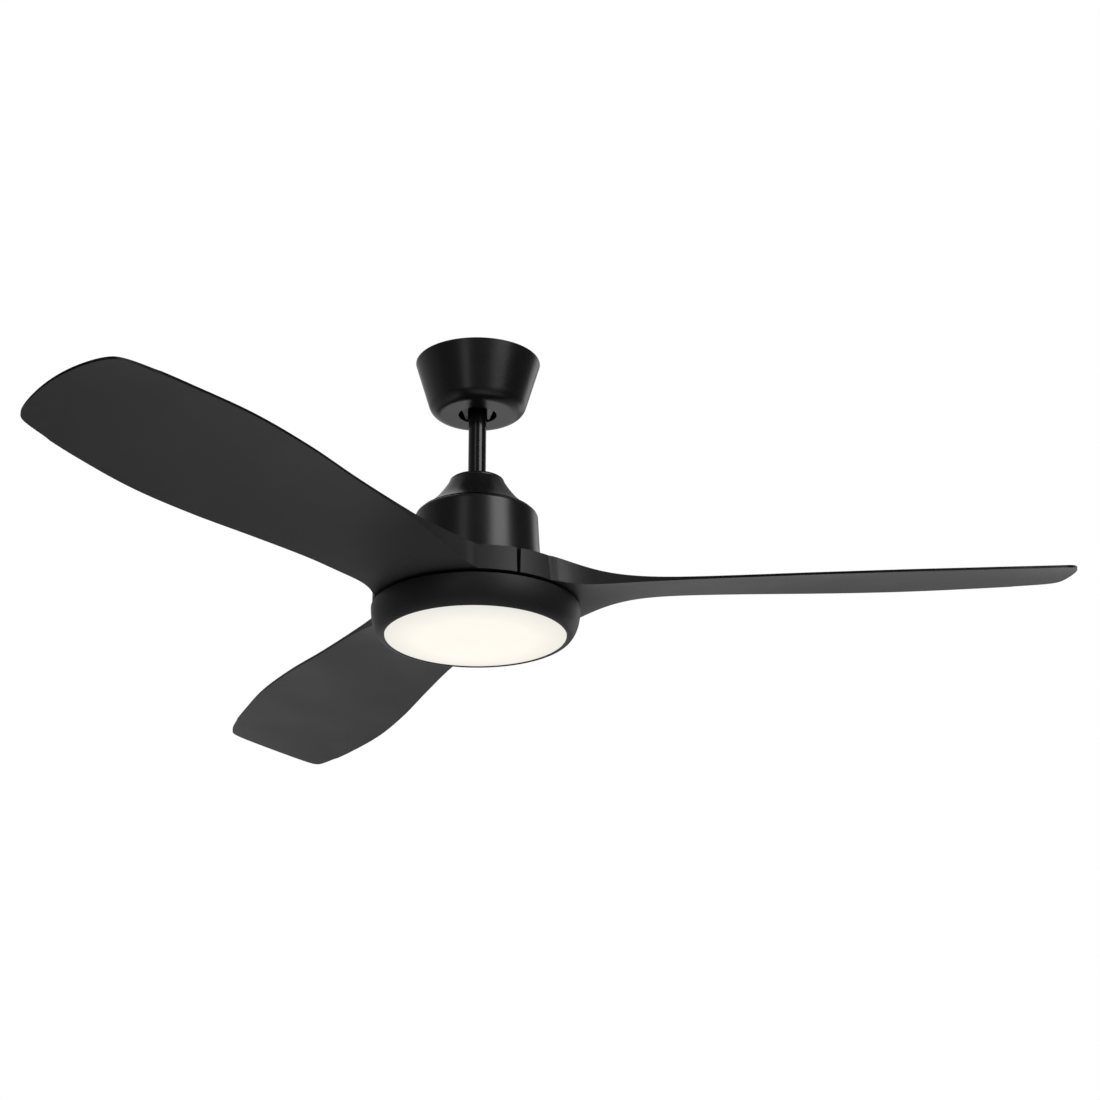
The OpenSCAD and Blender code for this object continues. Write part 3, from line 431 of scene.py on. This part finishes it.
COVER_TOP_R = 30.8 * MM
COVER_FILLET = 3.7 * MM
COVER_HOLE_R = 10.6 * MM
COVER_WALL = 1.5 * MM
COVER_PULL = Vector((44.2 * MM, -173.1 * MM))      # control point that gives the flare its sweep
COVER_RIM_RISE = 1.2 * MM      # the flare ends this far above the motor housing
COVER_GAP = 0.8 * MM           # the cover ends this far above its CAD shape's foot, for a shadow gap
FLARE_STEPS = 36


def flare(inset):
    """The flared side of the coupling cover, moved inward by inset."""
    start = Vector((COVER_TOP_R, cover_high.z - COVER_FILLET))
    rim = Vector((cover_high.x, housing_high.z + COVER_RIM_RISE))
    points = []
    for i in range(FLARE_STEPS + 1):
        t = i / FLARE_STEPS
        point = (start * ((1 - t) ** 3 + 3 * t * (1 - t) ** 2)
                 + COVER_PULL * 3 * t * t * (1 - t) + rim * t ** 3)
        way = (start * (-6 * t * (1 - t)) + COVER_PULL * (6 * t * (1 - t) - 3 * t * t)
               + rim * 3 * t * t)
        way = Vector((0, -1)) if way.length < TINY else way.normalized()
        points.append(point + Vector((way.y, -way.x)) * inset)
    return [tuple(p) for p in points]


def cover_outline():
    """The coupling cover: a short neck round the rod that flares out over the motor housing."""
    top = cover_high.z
    corner = (COVER_TOP_R - COVER_FILLET, top - COVER_FILLET)
    outer = flare(0)
    bottom = cover_low.z + COVER_GAP
    inner = [p for p in flare(COVER_WALL) if p[1] > bottom]
    return soften([
        (COVER_HOLE_R, top), *arc(corner, COVER_FILLET, 90, 0, steps=10)[:-1], *outer,
        (outer[-1][0], bottom), (inner[-1][0], bottom), *reversed(inner[1:]),
        *arc(corner, COVER_FILLET - COVER_WALL, 0, 90), (COVER_HOLE_R, top - COVER_WALL),
    ])


HOUSING_TOP_R = 68.4 * MM
HOUSING_FILLET = 5.3 * MM
HOUSING_WALL = 1.6 * MM
HOUSING_HOLE_R = 30 * MM


def housing_outline():
    """The motor housing: a can that widens slightly downwards, open below."""
    top, low, low_r = housing_high.z, housing_low.z, housing_high.x
    corner = (HOUSING_TOP_R - HOUSING_FILLET, top - HOUSING_FILLET)
    return soften([
        (HOUSING_HOLE_R, top), *arc(corner, HOUSING_FILLET, 90, 0, steps=14), (low_r, low),
        (low_r - HOUSING_WALL, low), *arc(corner, HOUSING_FILLET - HOUSING_WALL, 0, 90, steps=10),
        (HOUSING_HOLE_R, top - HOUSING_WALL),
    ])


stand_in(turned("canopy_shell", canopy_outline()), "canopy", "black_paint")
stand_in(turned("coupling_cover_shell", cover_outline()), "coupling_cover", "black_paint")
stand_in(turned("motor_housing_shell", housing_outline()), "motor_housing", "black_paint")

# ---------- light ----------

RING_LIP_R = 100.15 * MM       # inner radius of the light ring's lower lip
RING_SHOULDER = 5 * MM         # width of the slope round the ring's top
RING_DROP = 2.3 * MM           # and how far that slope comes down
RING_BREAK_IN = 0.6 * MM       # the corner below the slope is broken by this much inward
RING_BREAK_UP = 0.55 * MM      # and by this much upward
RING_SIDE = 2.9 * MM           # the bowed side starts this far below the ring's top
RING_WALL = 2 * MM
RING_EDGE = 0.8 * MM           # rounding of its edges
RING_BORE = 5.1 * MM           # hole for the motor's shaft
RING_STEPS = 30
PAN_T = 1.5 * MM               # thickness of its flat top
PAN_IN = 6 * MM                # the underside of that top ends this far inside the ring's outer radius


def ring_curve(inset):
    """The ring's bowed side: a quarter ellipse from the upright side down to the lip."""
    wide = ring_high.x - RING_LIP_R - inset
    tall = ring_high.z - RING_SIDE - ring_low.z - inset
    return [(RING_LIP_R + wide * math.cos(a), ring_high.z - RING_SIDE - tall * math.sin(a))
            for a in (math.pi / 2 * i / RING_STEPS for i in range(RING_STEPS + 1))]


def ring_outline():
    """The light's housing: a flat pan with a sloped shoulder and a bowed side."""
    top, out = ring_high.z, ring_high.x
    return soften([
        (RING_BORE, top), (out - RING_SHOULDER, top),
        (out - RING_BREAK_IN, top - RING_DROP + RING_BREAK_UP), (out, top - RING_DROP),
        *ring_curve(0), *reversed(ring_curve(RING_WALL)), (out - PAN_IN, top - PAN_T),
        (RING_BORE, top - PAN_T),
    ], RING_EDGE)


stand_in(turned("light_ring_shell", ring_outline()), "light_ring", "light_black")

CROWN = 3 * MM                 # how far the diffuser's middle bulges below its rim
DIFFUSER_R = 99.6 * MM
DIFFUSER_T = 2 * MM
DIFFUSER_EDGE = 0.4 * MM       # rounding of its edges
DIFFUSER_STEPS = 28
SKIRT_R = 97.8 * MM            # outside of the skirt behind the disc, which the bayonet clips hold
SKIRT_T = 2 * MM
SKIRT_HEEL = 0.1 * MM          # the skirt's inside stops this far above the disc


def dome(rim_z):
    """Points from the axis out to the diffuser's rim at rim_z, lowest in the middle."""
    shares = [i / DIFFUSER_STEPS for i in range(DIFFUSER_STEPS + 1)]
    return [(DIFFUSER_R * s, rim_z - CROWN * (1 - s ** 2)) for s in shares]


def diffuser_outline():
    """The opal disc with the skirt that stands up behind it."""
    top, rim = diffuser_high.z, diffuser_low.z + CROWN
    skirt_in = SKIRT_R - SKIRT_T
    behind = [p for p in dome(rim + DIFFUSER_T) if p[0] < skirt_in]
    return soften([
        *dome(rim), (DIFFUSER_R, rim + DIFFUSER_T), (SKIRT_R, rim + DIFFUSER_T), (SKIRT_R, top),
        (skirt_in, top), (skirt_in, behind[-1][1] + SKIRT_HEEL), *reversed(behind),
    ], DIFFUSER_EDGE)


stand_in(turned("diffuser_disc", diffuser_outline()), "diffuser", "opal")

# ---------- blades ----------

BLADES = 3
FIRST_BLADE = -4.8             # where blade 1 points, in degrees from +X
HUB_R = 113.6 * MM             # radius of the hub that the blades' roots make up
HUB_IN = 72 * MM               # radius of its hole
HUB_H = 27.3 * MM              # height of the hub at its rim
HUB_SLOPE = 2.7 * MM           # extra height inside the sloped shoulder
HUB_SHOULDER = 7 * MM          # width of that shoulder
HUB_LOW = -292.5 * MM          # height of its underside
HUB_TURN = -1.7                # the seams sit this far from midway between the blades, in degrees
SEAM_LOW = 3.8 * MM            # gap between neighbouring blade roots, at the bottom and at the top
SEAM_HIGH = 5.0 * MM
ROOT_DRAFT = 3 * MM            # how much narrower the arm's underside is at the trailing side
ROOT_Z = HUB_LOW + HUB_H / 2
ROOT_FADE, ROOT_POWER = 51.1 * MM, 1.36      # how the hub's height fades into the blade's thickness
BLADE_T = 2.9 * MM
BLADE_Z = -275.67 * MM         # height of the blade's middle line
PITCH = 13.0                   # degrees
PITCH_FADE, PITCH_POWER = 38.2 * MM, 1.34    # how the pitch and BLADE_Z come in, out from the hub
CAMBER = 4.2 * MM              # how far the middle of a section bows up
CAMBER_RUN = 335 * MM          # distance from the hub over which that bow comes in
TIP_R = 653.4 * MM             # radius of the circle that the tips run on
TIP_BULGE = 8.5 * MM           # how far the tip's edge drops back at TIP_SPAN from its middle
TIP_SPAN = 60 * MM
TIP_SOFT = 16.9 * MM           # softness of the tip's corners
TIP_SHIFT = -13.9 * MM         # where the tip reaches out furthest, across the blade
TIP_SWEEP = 3.45 * MM          # how far the blade curves up from SWEEP_FROM to its tip
SWEEP_FROM = 400 * MM
CUT_ZONE = 80 * MM             # the tip's corners start to be cut this far from its end
CUT_RAMP = 30 * MM             # and are fully cut this much further out
ROUNDING = 1.3 * MM            # rounding of the hub's edges
THINS_BY = 0.85                # the blade's edges lose this share of it
THINS_OVER = 70 * MM           # over this distance from the hub
SHARP = math.radians(42)       # edges that turn more than this are rounded
EDGE_FROM = 118 * MM           # the blade's edges have their own finish, with painted shade, from here out
# distance from the axis, reach to the leading edge, reach to the trailing edge, in millimetres
OUTLINE = [
    (70, 66.2, 76), (113.6, 66.2, 76), (124, 61.7, 68.3), (136, 58.2, 63.4), (150, 55.3, 61.6),
    (180, 53.3, 62.5), (225, 55.4, 65.1), (305, 60.4, 73.4), (390, 67.3, 82.7), (475, 68.8, 87.3),
    (558, 61.5, 83.8), (617, 53.9, 78.3), (653, 46.4, 74.7),
]
OUTLINE_END = OUTLINE[-1][0] * MM


def reach(r, column):
    """Smooth curve through a column of the outline, at distance r from the axis."""
    r = min(max(r / MM, OUTLINE[0][0]), OUTLINE[-1][0])
    i = max(k for k in range(len(OUTLINE) - 1) if OUTLINE[k][0] <= r)

    def tilt(k):
        a, b = OUTLINE[max(k - 1, 0)], OUTLINE[min(k + 1, len(OUTLINE) - 1)]
        return (b[column] - a[column]) / (b[0] - a[0])

    span = OUTLINE[i + 1][0] - OUTLINE[i][0]
    t = (r - OUTLINE[i][0]) / span
    return MM * (
        (2 * t ** 3 - 3 * t * t + 1) * OUTLINE[i][column] + (t ** 3 - 2 * t * t + t) * span * tilt(i)
        + (3 * t * t - 2 * t ** 3) * OUTLINE[i + 1][column] + (t ** 3 - t * t) * span * tilt(i + 1)
    )


def tip_cut(r, edge, toward):
    """Reach of an edge once the bowed tip cuts across it; toward is 1 for leading and -1 for trailing."""
    across = toward * TIP_SHIFT + TIP_SPAN * math.sqrt(max(0.0, TIP_R - r) / TIP_BULGE)
    cut = (edge + across - math.hypot(edge - across, TIP_SOFT)) / 2
    return edge + (cut - edge) * clamped((r - TIP_R + CUT_ZONE) / CUT_RAMP)


def tip_edge(v, lead, trail):
    """How far from the axis the tip's edge lies at v across the blade."""
    toward, edge = (1, lead) if v > TIP_SHIFT else (-1, trail)
    across = toward * v + TIP_SOFT ** 2 / 4 / (edge - toward * v)
    return TIP_R - TIP_BULGE * ((across - toward * TIP_SHIFT) / TIP_SPAN) ** 2


def faded(r, fade, power):
    """1 at the hub's rim, falling smoothly to 0 outwards."""
    return math.exp(-((max(0.0, r - HUB_R) / fade) ** power))


def blade_section(r):
    """Leading reach, trailing reach, height and the underside's height as a function of v."""
    scaled = r * OUTLINE_END / TIP_R
    lead, trail = reach(scaled, 1), -reach(scaled, 2)
    height = BLADE_T + (HUB_H - BLADE_T) * faded(r, ROOT_FADE, ROOT_POWER)
    turn = 1 - faded(r, PITCH_FADE, PITCH_POWER)
    level = ROOT_Z + (BLADE_Z - ROOT_Z) * turn
    level += TIP_SWEEP * (max(0.0, scaled - SWEEP_FROM) / (OUTLINE_END - SWEEP_FROM)) ** 2
    bow = CAMBER * clamped((r - HUB_R) / CAMBER_RUN)
    slope = math.tan(math.radians(PITCH)) * turn

    def low(v):
        s = (v - trail) / (lead - trail)
        return level + v * slope - height / 2 + bow * (1 - (2 * s - 1) ** 2)

    return lead, trail, height, low


TIP_ZONE = 60 * MM             # the rows of points bend to the tip's edge over this last stretch
TIP_ROWS = 16
TIP_CLOSING = 1.6              # how much closer those rows get towards the tip
ROW_LEAST = 2.2 * MM           # distance of the arm's first row from the hub
ROW_GROWTH = 0.09              # later rows lie further apart, by this share of their distance from it
ROW_MOST = 9 * MM              # but never further apart than this
ARM_COLUMNS = 30               # cells across the arm, narrower towards its edges
ACROSS = [0.5 - 0.5 * math.cos(math.pi * k / ARM_COLUMNS) for k in range(ARM_COLUMNS + 1)]
WING = (0, 0.05, 0.14, 0.3, 0.5, 0.7, 0.87, 0.96)      # columns from a seam to the arm, closer at both ends
FIRST, LAST = len(WING), len(WING) + ARM_COLUMNS       # the arm's outer columns
END = LAST + len(WING)                                 # the column at the second seam
# radii of the hub's rows
HUB_RINGS = (HUB_IN, HUB_IN + 8 * MM, HUB_IN + 18 * MM, HUB_R - HUB_SHOULDER - MM,
             HUB_R - HUB_SHOULDER, HUB_R - 3 * MM, HUB_R - 1.2 * MM, HUB_R)


def tip_row(inset):
    """Distance from the axis and v, the place across the blade, of the points of a row near the tip.

    The row lies inset from the tip and bends to the tip's edge as inset nears 0.
    """
    lead, trail, _, _ = blade_section(TIP_R)
    bend = (1 - inset / TIP_ZONE) ** 2
    start, end = trail + TIP_SOFT / 2, lead - TIP_SOFT / 2
    radii = [TIP_R - inset + bend * (tip_edge(start + (end - start) * s, lead, -trail) - TIP_R)
             for s in ACROSS]
    ends = []
    for toward, r in ((-1, radii[0]), (1, radii[-1])):
        section = blade_section(r)
        ends.append(toward * tip_cut(r, abs(section[0] if toward > 0 else section[1]), toward))
    return [(r, ends[0] + (ends[1] - ends[0]) * s) for r, s in zip(radii, ACROSS)]


def arm_row(r, side):
    """The same for a straight row, on the arm's underside ("low") or its upper side ("high")."""
    lead, trail, _, _ = blade_section(r)
    if side == "low":
        trail += ROOT_DRAFT * faded(r, ROOT_FADE, ROOT_POWER)
    return [(r, trail + (lead - trail) * s) for s in ACROSS]


def arm_radii():
    """How far from the axis the rows of the arm lie: close at the hub and at the tip."""
    radii = []
    r = HUB_R
    while r < TIP_R - TIP_ZONE:
        r += min(ROW_MOST, ROW_LEAST + (r - HUB_R) * ROW_GROWTH)
        radii.append(min(r, TIP_R - TIP_ZONE))
    return radii + [TIP_R - TIP_ZONE * (1 - k / TIP_ROWS) ** TIP_CLOSING for k in range(1, TIP_ROWS + 1)]


def hub_points(bm, grid):
    """A blade's share of the hub, from seam to seam."""
    half, turn = math.pi / BLADES, math.radians(HUB_TURN)

    def wing(seam_angle, arm_angle):
        return [seam_angle + (arm_angle - seam_angle) * s for s in WING]

    for side, seam in (("low", SEAM_LOW), ("high", SEAM_HIGH)):
        arm = [math.asin(v / HUB_R) for _, v in arm_row(HUB_R, side)]
        for i, r in enumerate(HUB_RINGS):
            gap = math.asin(seam / 2 / r)
            z = HUB_LOW
            if side == "high":
                z += HUB_H + HUB_SLOPE * min(1.0, (HUB_R - r) / HUB_SHOULDER)
            angles = [*wing(turn - half + gap, arm[0]), *arm, *reversed(wing(turn + half - gap, arm[-1]))]
            for j, angle in enumerate(angles):
                grid[side, i, j] = bm.verts.new((r * math.cos(angle), r * math.sin(angle), z))


def arm_points(bm, grid, radii):
    """The arm's rows, on from the hub's last ring."""
    for i, row_r in enumerate(radii, len(HUB_RINGS)):
        for side in ("low", "high"):
            points = tip_row(TIP_R - row_r) if row_r > TIP_R - TIP_ZONE else arm_row(row_r, side)
            for j, (r, v) in enumerate(points, FIRST):
                _, _, height, low = blade_section(r)
                z = low(v) + (height if side == "high" else 0)
                grid[side, i, j] = bm.verts.new((math.sqrt(r * r - v * v), v, z))


def all_round(rim, rows):
    """Rows and columns all round the blade: a seam, the arm, the tip and back to the hub's hole."""
    return [
        *((i, 0) for i in range(rim + 1)),
        *((rim, j) for j in range(1, FIRST + 1)),
        *((i, FIRST) for i in range(rim + 1, rows + 1)),
        *((rows, j) for j in range(FIRST + 1, LAST + 1)),
        *((i, LAST) for i in range(rows - 1, rim - 1, -1)),
        *((rim, j) for j in range(LAST + 1, END + 1)),
        *((i, END) for i in range(rim - 1, -1, -1)),
        *((0, j) for j in range(END - 1, -1, -1)),
    ]


def round_edges(bm):
    """Gives each sharp edge its share of the rounding: all on the hub, less where the blade is thin."""
    bmesh.ops.recalc_face_normals(bm, faces=bm.faces)
    weight = bm.edges.layers.float.new("bevel_weight_edge")
    for edge in bm.edges:
        if edge.calc_face_angle(0) > SHARP:
            middle = (edge.verts[0].co + edge.verts[1].co) / 2
            edge[weight] = 1 - THINS_BY * clamped((math.hypot(middle.x, middle.y) - HUB_R) / THINS_OVER)


def blade_mesh(name):
    """One blade along +X: its share of the hub, then the arm that thins and twists into the blade.

    The points are a grid for either side: rows run out from the hub's hole, columns from seam to seam.
    """
    bm = bmesh.new()
    grid = {}
    radii = arm_radii()
    hub_points(bm, grid)
    arm_points(bm, grid, radii)
    rim = len(HUB_RINGS) - 1
    rows = rim + len(radii)
    for side in ("low", "high"):
        for i in range(rows):
            start, end = (0, END) if i < rim else (FIRST, LAST)
            for j in range(start, end):
                corners = (i, j), (i + 1, j), (i + 1, j + 1), (i, j + 1)
                bm.faces.new([grid[side, row, column] for row, column in corners])
    outside = all_round(rim, rows)
    for (i, j), (k, m) in zip(outside, outside[1:]):
        low, high = (grid["low", i, j], grid["low", k, m]), (grid["high", k, m], grid["high", i, j])
        face = bm.faces.new(low + high)
        face.material_index = int(low[0].co.to_2d().length > EDGE_FROM)
    round_edges(bm)
    return mesh_object(name, bm)


def blade(i):
    """Blade i + 1, turned to its place; its edges have a finish of their own, with painted shade."""
    obj = blade_mesh("fan_blade_%d" % (i + 1))
    rounding = obj.modifiers.new("rounded_edges", "BEVEL")
    rounding.width = ROUNDING
    rounding.segments = 4
    rounding.limit_method = "WEIGHT"
    obj.data.transform(Matrix.Rotation(math.radians(FIRST_BLADE + i * 360 / BLADES), 4, "Z"))
    smooth(obj, 40)
    walls = [face.material_index for face in obj.data.polygons]
    stand_in(obj, "blade_%d" % (i + 1), "blade_plastic")
    obj.data.materials.append(FINISHES["blade_edge"])
    obj.data.polygons.foreach_set("material_index", walls)


for index in range(BLADES):
    blade(index)

# ---------- everything else keeps its CAD shape and takes its finish ----------

for part in frame["record"]["subparts"]:
    node = frame["nodes"][part["node"]]
    if not node.hide_render:
        dress(node, part["material_slot"])

# ---------- floor, light and camera ----------

FLOOR_DROP = 2.4               # the room's floor, below the ceiling
FLOOR_HALF = 3.0               # half of its width
PATCH_INSET = 0.4 * MM         # the ceiling patch is this much smaller than the canopy's rim
PATCH_RISE = 0.3 * MM          # and lies this far above it


def floor():
    """The room's floor, which throws light back up at the fan."""
    bm = bmesh.new()
    corners = [(-FLOOR_HALF, -FLOOR_HALF), (FLOOR_HALF, -FLOOR_HALF), (FLOOR_HALF, FLOOR_HALF),
               (-FLOOR_HALF, FLOOR_HALF)]
    bm.faces.new([bm.verts.new((x, y, -FLOOR_DROP)) for x, y in corners])
    obj = mesh_object("floor", bm)
    pale = Finish("pale_floor", (0.86, 0.86, 0.86), 0.7)
    pale.tint(pale.noise(1.5), (0.88, 0.88, 0.88))
    obj.data.materials.append(pale.material)


def ceiling_patch():
    """The bit of ceiling that closes the canopy, so that no daylight falls in from above; its dark grey is
    painted shade that keeps the canopy's inside dark.
    """
    bm = bmesh.new()
    bmesh.ops.create_circle(bm, cap_ends=True, segments=96, radius=canopy_high.x - PATCH_INSET)
    bmesh.ops.translate(bm, verts=bm.verts, vec=(0, 0, PATCH_RISE))
    obj = mesh_object("ceiling_patch", bm)
    # painted shade: the patch is dark grey, so the canopy's inside stays dark
    shaded_ceiling = Finish("ceiling_painted_shade", (0.05, 0.05, 0.05), 0.8)
    shaded_ceiling.tint(shaded_ceiling.noise(40), (0.06, 0.06, 0.06))
    obj.data.materials.append(shaded_ceiling.material)


BRIGHTENS = (-0.35, 0.75)      # the surroundings brighten between these Y parts of a direction
DIM_SIDE = 0.12                # their strength on the camera's side; it's 1 behind the fan
# Flags dim the light round a direction: whether only its heading counts, the direction, the cosines of the
# angles from it where the flag starts and where it is whole, and the share of the light that it lets pass.
FLAGS = (
    (True, (1, 0, 0), 0.62, 0.86, 0.1),
    (True, (-0.82, 0.57, 0), 0.72, 0.96, 0.5),
    (False, (0.3, 0.66, 0.69), 0.9, 0.975, 0.25),
    (False, (0.5, 0.86, 0.08), 0.86, 0.975, 0.2),
)


def eased(nodes, start, end, low, high):
    """A node that steps smoothly from low at start to high at end."""
    node = nodes.new("ShaderNodeMapRange")
    node.interpolation_type = "SMOOTHSTEP"
    for socket, value in (("From Min", start), ("From Max", end), ("To Min", low), ("To Max", high)):
        node.inputs[socket].default_value = value
    return node


def glow_strength(nodes, links):
    """Strength of the surroundings as they light the fan."""
    direction = nodes.new("ShaderNodeTexCoord").outputs["Generated"]
    split = nodes.new("ShaderNodeSeparateXYZ")
    links.new(direction, split.inputs["Vector"])
    level = nodes.new("ShaderNodeCombineXYZ")
    for axis in "XY":
        links.new(split.outputs[axis], level.inputs[axis])
    heading = nodes.new("ShaderNodeVectorMath")
    heading.operation = "NORMALIZE"
    links.new(level.outputs["Vector"], heading.inputs[0])
    back = eased(nodes, *BRIGHTENS, DIM_SIDE, 1.0)
    links.new(split.outputs["Y"], back.inputs["Value"])
    strength = back.outputs["Result"]
    for heading_only, toward, start, whole, passes in FLAGS:
        facing = nodes.new("ShaderNodeVectorMath")
        facing.operation = "DOT_PRODUCT"
        facing.inputs[1].default_value = toward
        links.new(heading.outputs["Vector"] if heading_only else direction, facing.inputs[0])
        flag = eased(nodes, start, whole, 1.0, passes)
        links.new(facing.outputs["Value"], flag.inputs["Value"])
        dimmed = nodes.new("ShaderNodeMath")
        dimmed.operation = "MULTIPLY"
        links.new(strength, dimmed.inputs[0])
        links.new(flag.outputs["Result"], dimmed.inputs[1])
        strength = dimmed.outputs["Value"]
    return strength


def studio():
    """Surroundings that the camera sees as plain white, though their glow on the fan is uneven."""
    world = bpy.data.worlds.new("studio")
    bpy.context.scene.world = world
    world.use_nodes = True
    nodes, links = world.node_tree.nodes, world.node_tree.links
    nodes.clear()
    glow = nodes.new("ShaderNodeBackground")
    links.new(glow_strength(nodes, links), glow.inputs["Strength"])
    seen = nodes.new("ShaderNodeBackground")
    seen.inputs["Color"].default_value = (1, 1, 1, 1)
    path = nodes.new("ShaderNodeLightPath")
    mix = nodes.new("ShaderNodeMixShader")
    links.new(path.outputs["Is Camera Ray"], mix.inputs["Fac"])
    links.new(glow.outputs["Background"], mix.inputs[1])
    links.new(seen.outputs["Background"], mix.inputs[2])
    out = nodes.new("ShaderNodeOutputWorld")
    links.new(mix.outputs["Shader"], out.inputs["Surface"])


def light_panel(name, location, toward, width, height, radiance):
    """A rectangle of light that the camera doesn't see."""
    light = bpy.data.lights.new(name, "AREA")
    light.shape = "RECTANGLE"
    light.size, light.size_y = width, height
    light.energy = radiance * math.pi * width * height
    obj = bpy.data.objects.new(name, light)
    obj.location = location
    obj.rotation_euler = Vector(toward).to_track_quat("-Z", "Y").to_euler()
    obj.visible_camera = False
    bpy.context.scene.collection.objects.link(obj)


LIGHTS_AIM = Vector((0, 0, -0.2))
LIGHTS_AWAY = 2.6              # distance of the soft boxes from that point
# name, azimuth and elevation in degrees, width, height, radiance
SOFT_BOXES = (
    ("key_right", 43, 27, 1.35, 2.3, 3.6),
    ("key_low", 43, -15, 1.2, 0.7, 0.5),
    ("fill_left", -24, 8, 0.62, 2.6, 0.9),
    ("rim_right", 141, 4, 1.1, 2.2, 0.95),
)


def soft_box(name, azimuth, elevation, width, height, radiance):
    """A light panel that faces the fan. Azimuth 0 is the camera's side, positive to +X."""
    a, e = math.radians(azimuth), math.radians(elevation)
    way = Vector((math.sin(a) * math.cos(e), -math.cos(a) * math.cos(e), math.sin(e)))
    light_panel(name, LIGHTS_AIM + way * LIGHTS_AWAY, -way, width, height, radiance)


CAMERA_PLACE = (0, -2.716, -1.306)
CAMERA_PITCH, CAMERA_ROLL, CAMERA_YAW = 21.675, 0.089, -1.685      # degrees, from level towards +Y
CAMERA_LENS, CAMERA_SENSOR = 86.4, 36        # millimetres


def camera():
    """The photo's camera, as worked out from the outlines of the round parts."""
    pitch, roll, yaw = math.radians(CAMERA_PITCH), math.radians(CAMERA_ROLL), math.radians(CAMERA_YAW)
    data = bpy.data.cameras.new("camera")
    data.sensor_width = CAMERA_SENSOR
    data.lens = CAMERA_LENS
    data.clip_end = 100
    obj = bpy.data.objects.new("camera", data)
    obj.location = CAMERA_PLACE
    obj.rotation_euler = (math.pi / 2 + pitch, roll, yaw)
    bpy.context.scene.collection.objects.link(obj)
    bpy.context.scene.camera = obj


floor()
ceiling_patch()
studio()
for values in SOFT_BOXES:
    soft_box(*values)
# this one faces the floor, so that the fan gets its light from below
light_panel("floor_wash", (-0.5, -0.3, -1.8), (0, 0, -1), 2.4, 2.4, 0.42)
camera()
bpy.context.scene.view_settings.view_transform = "Standard"
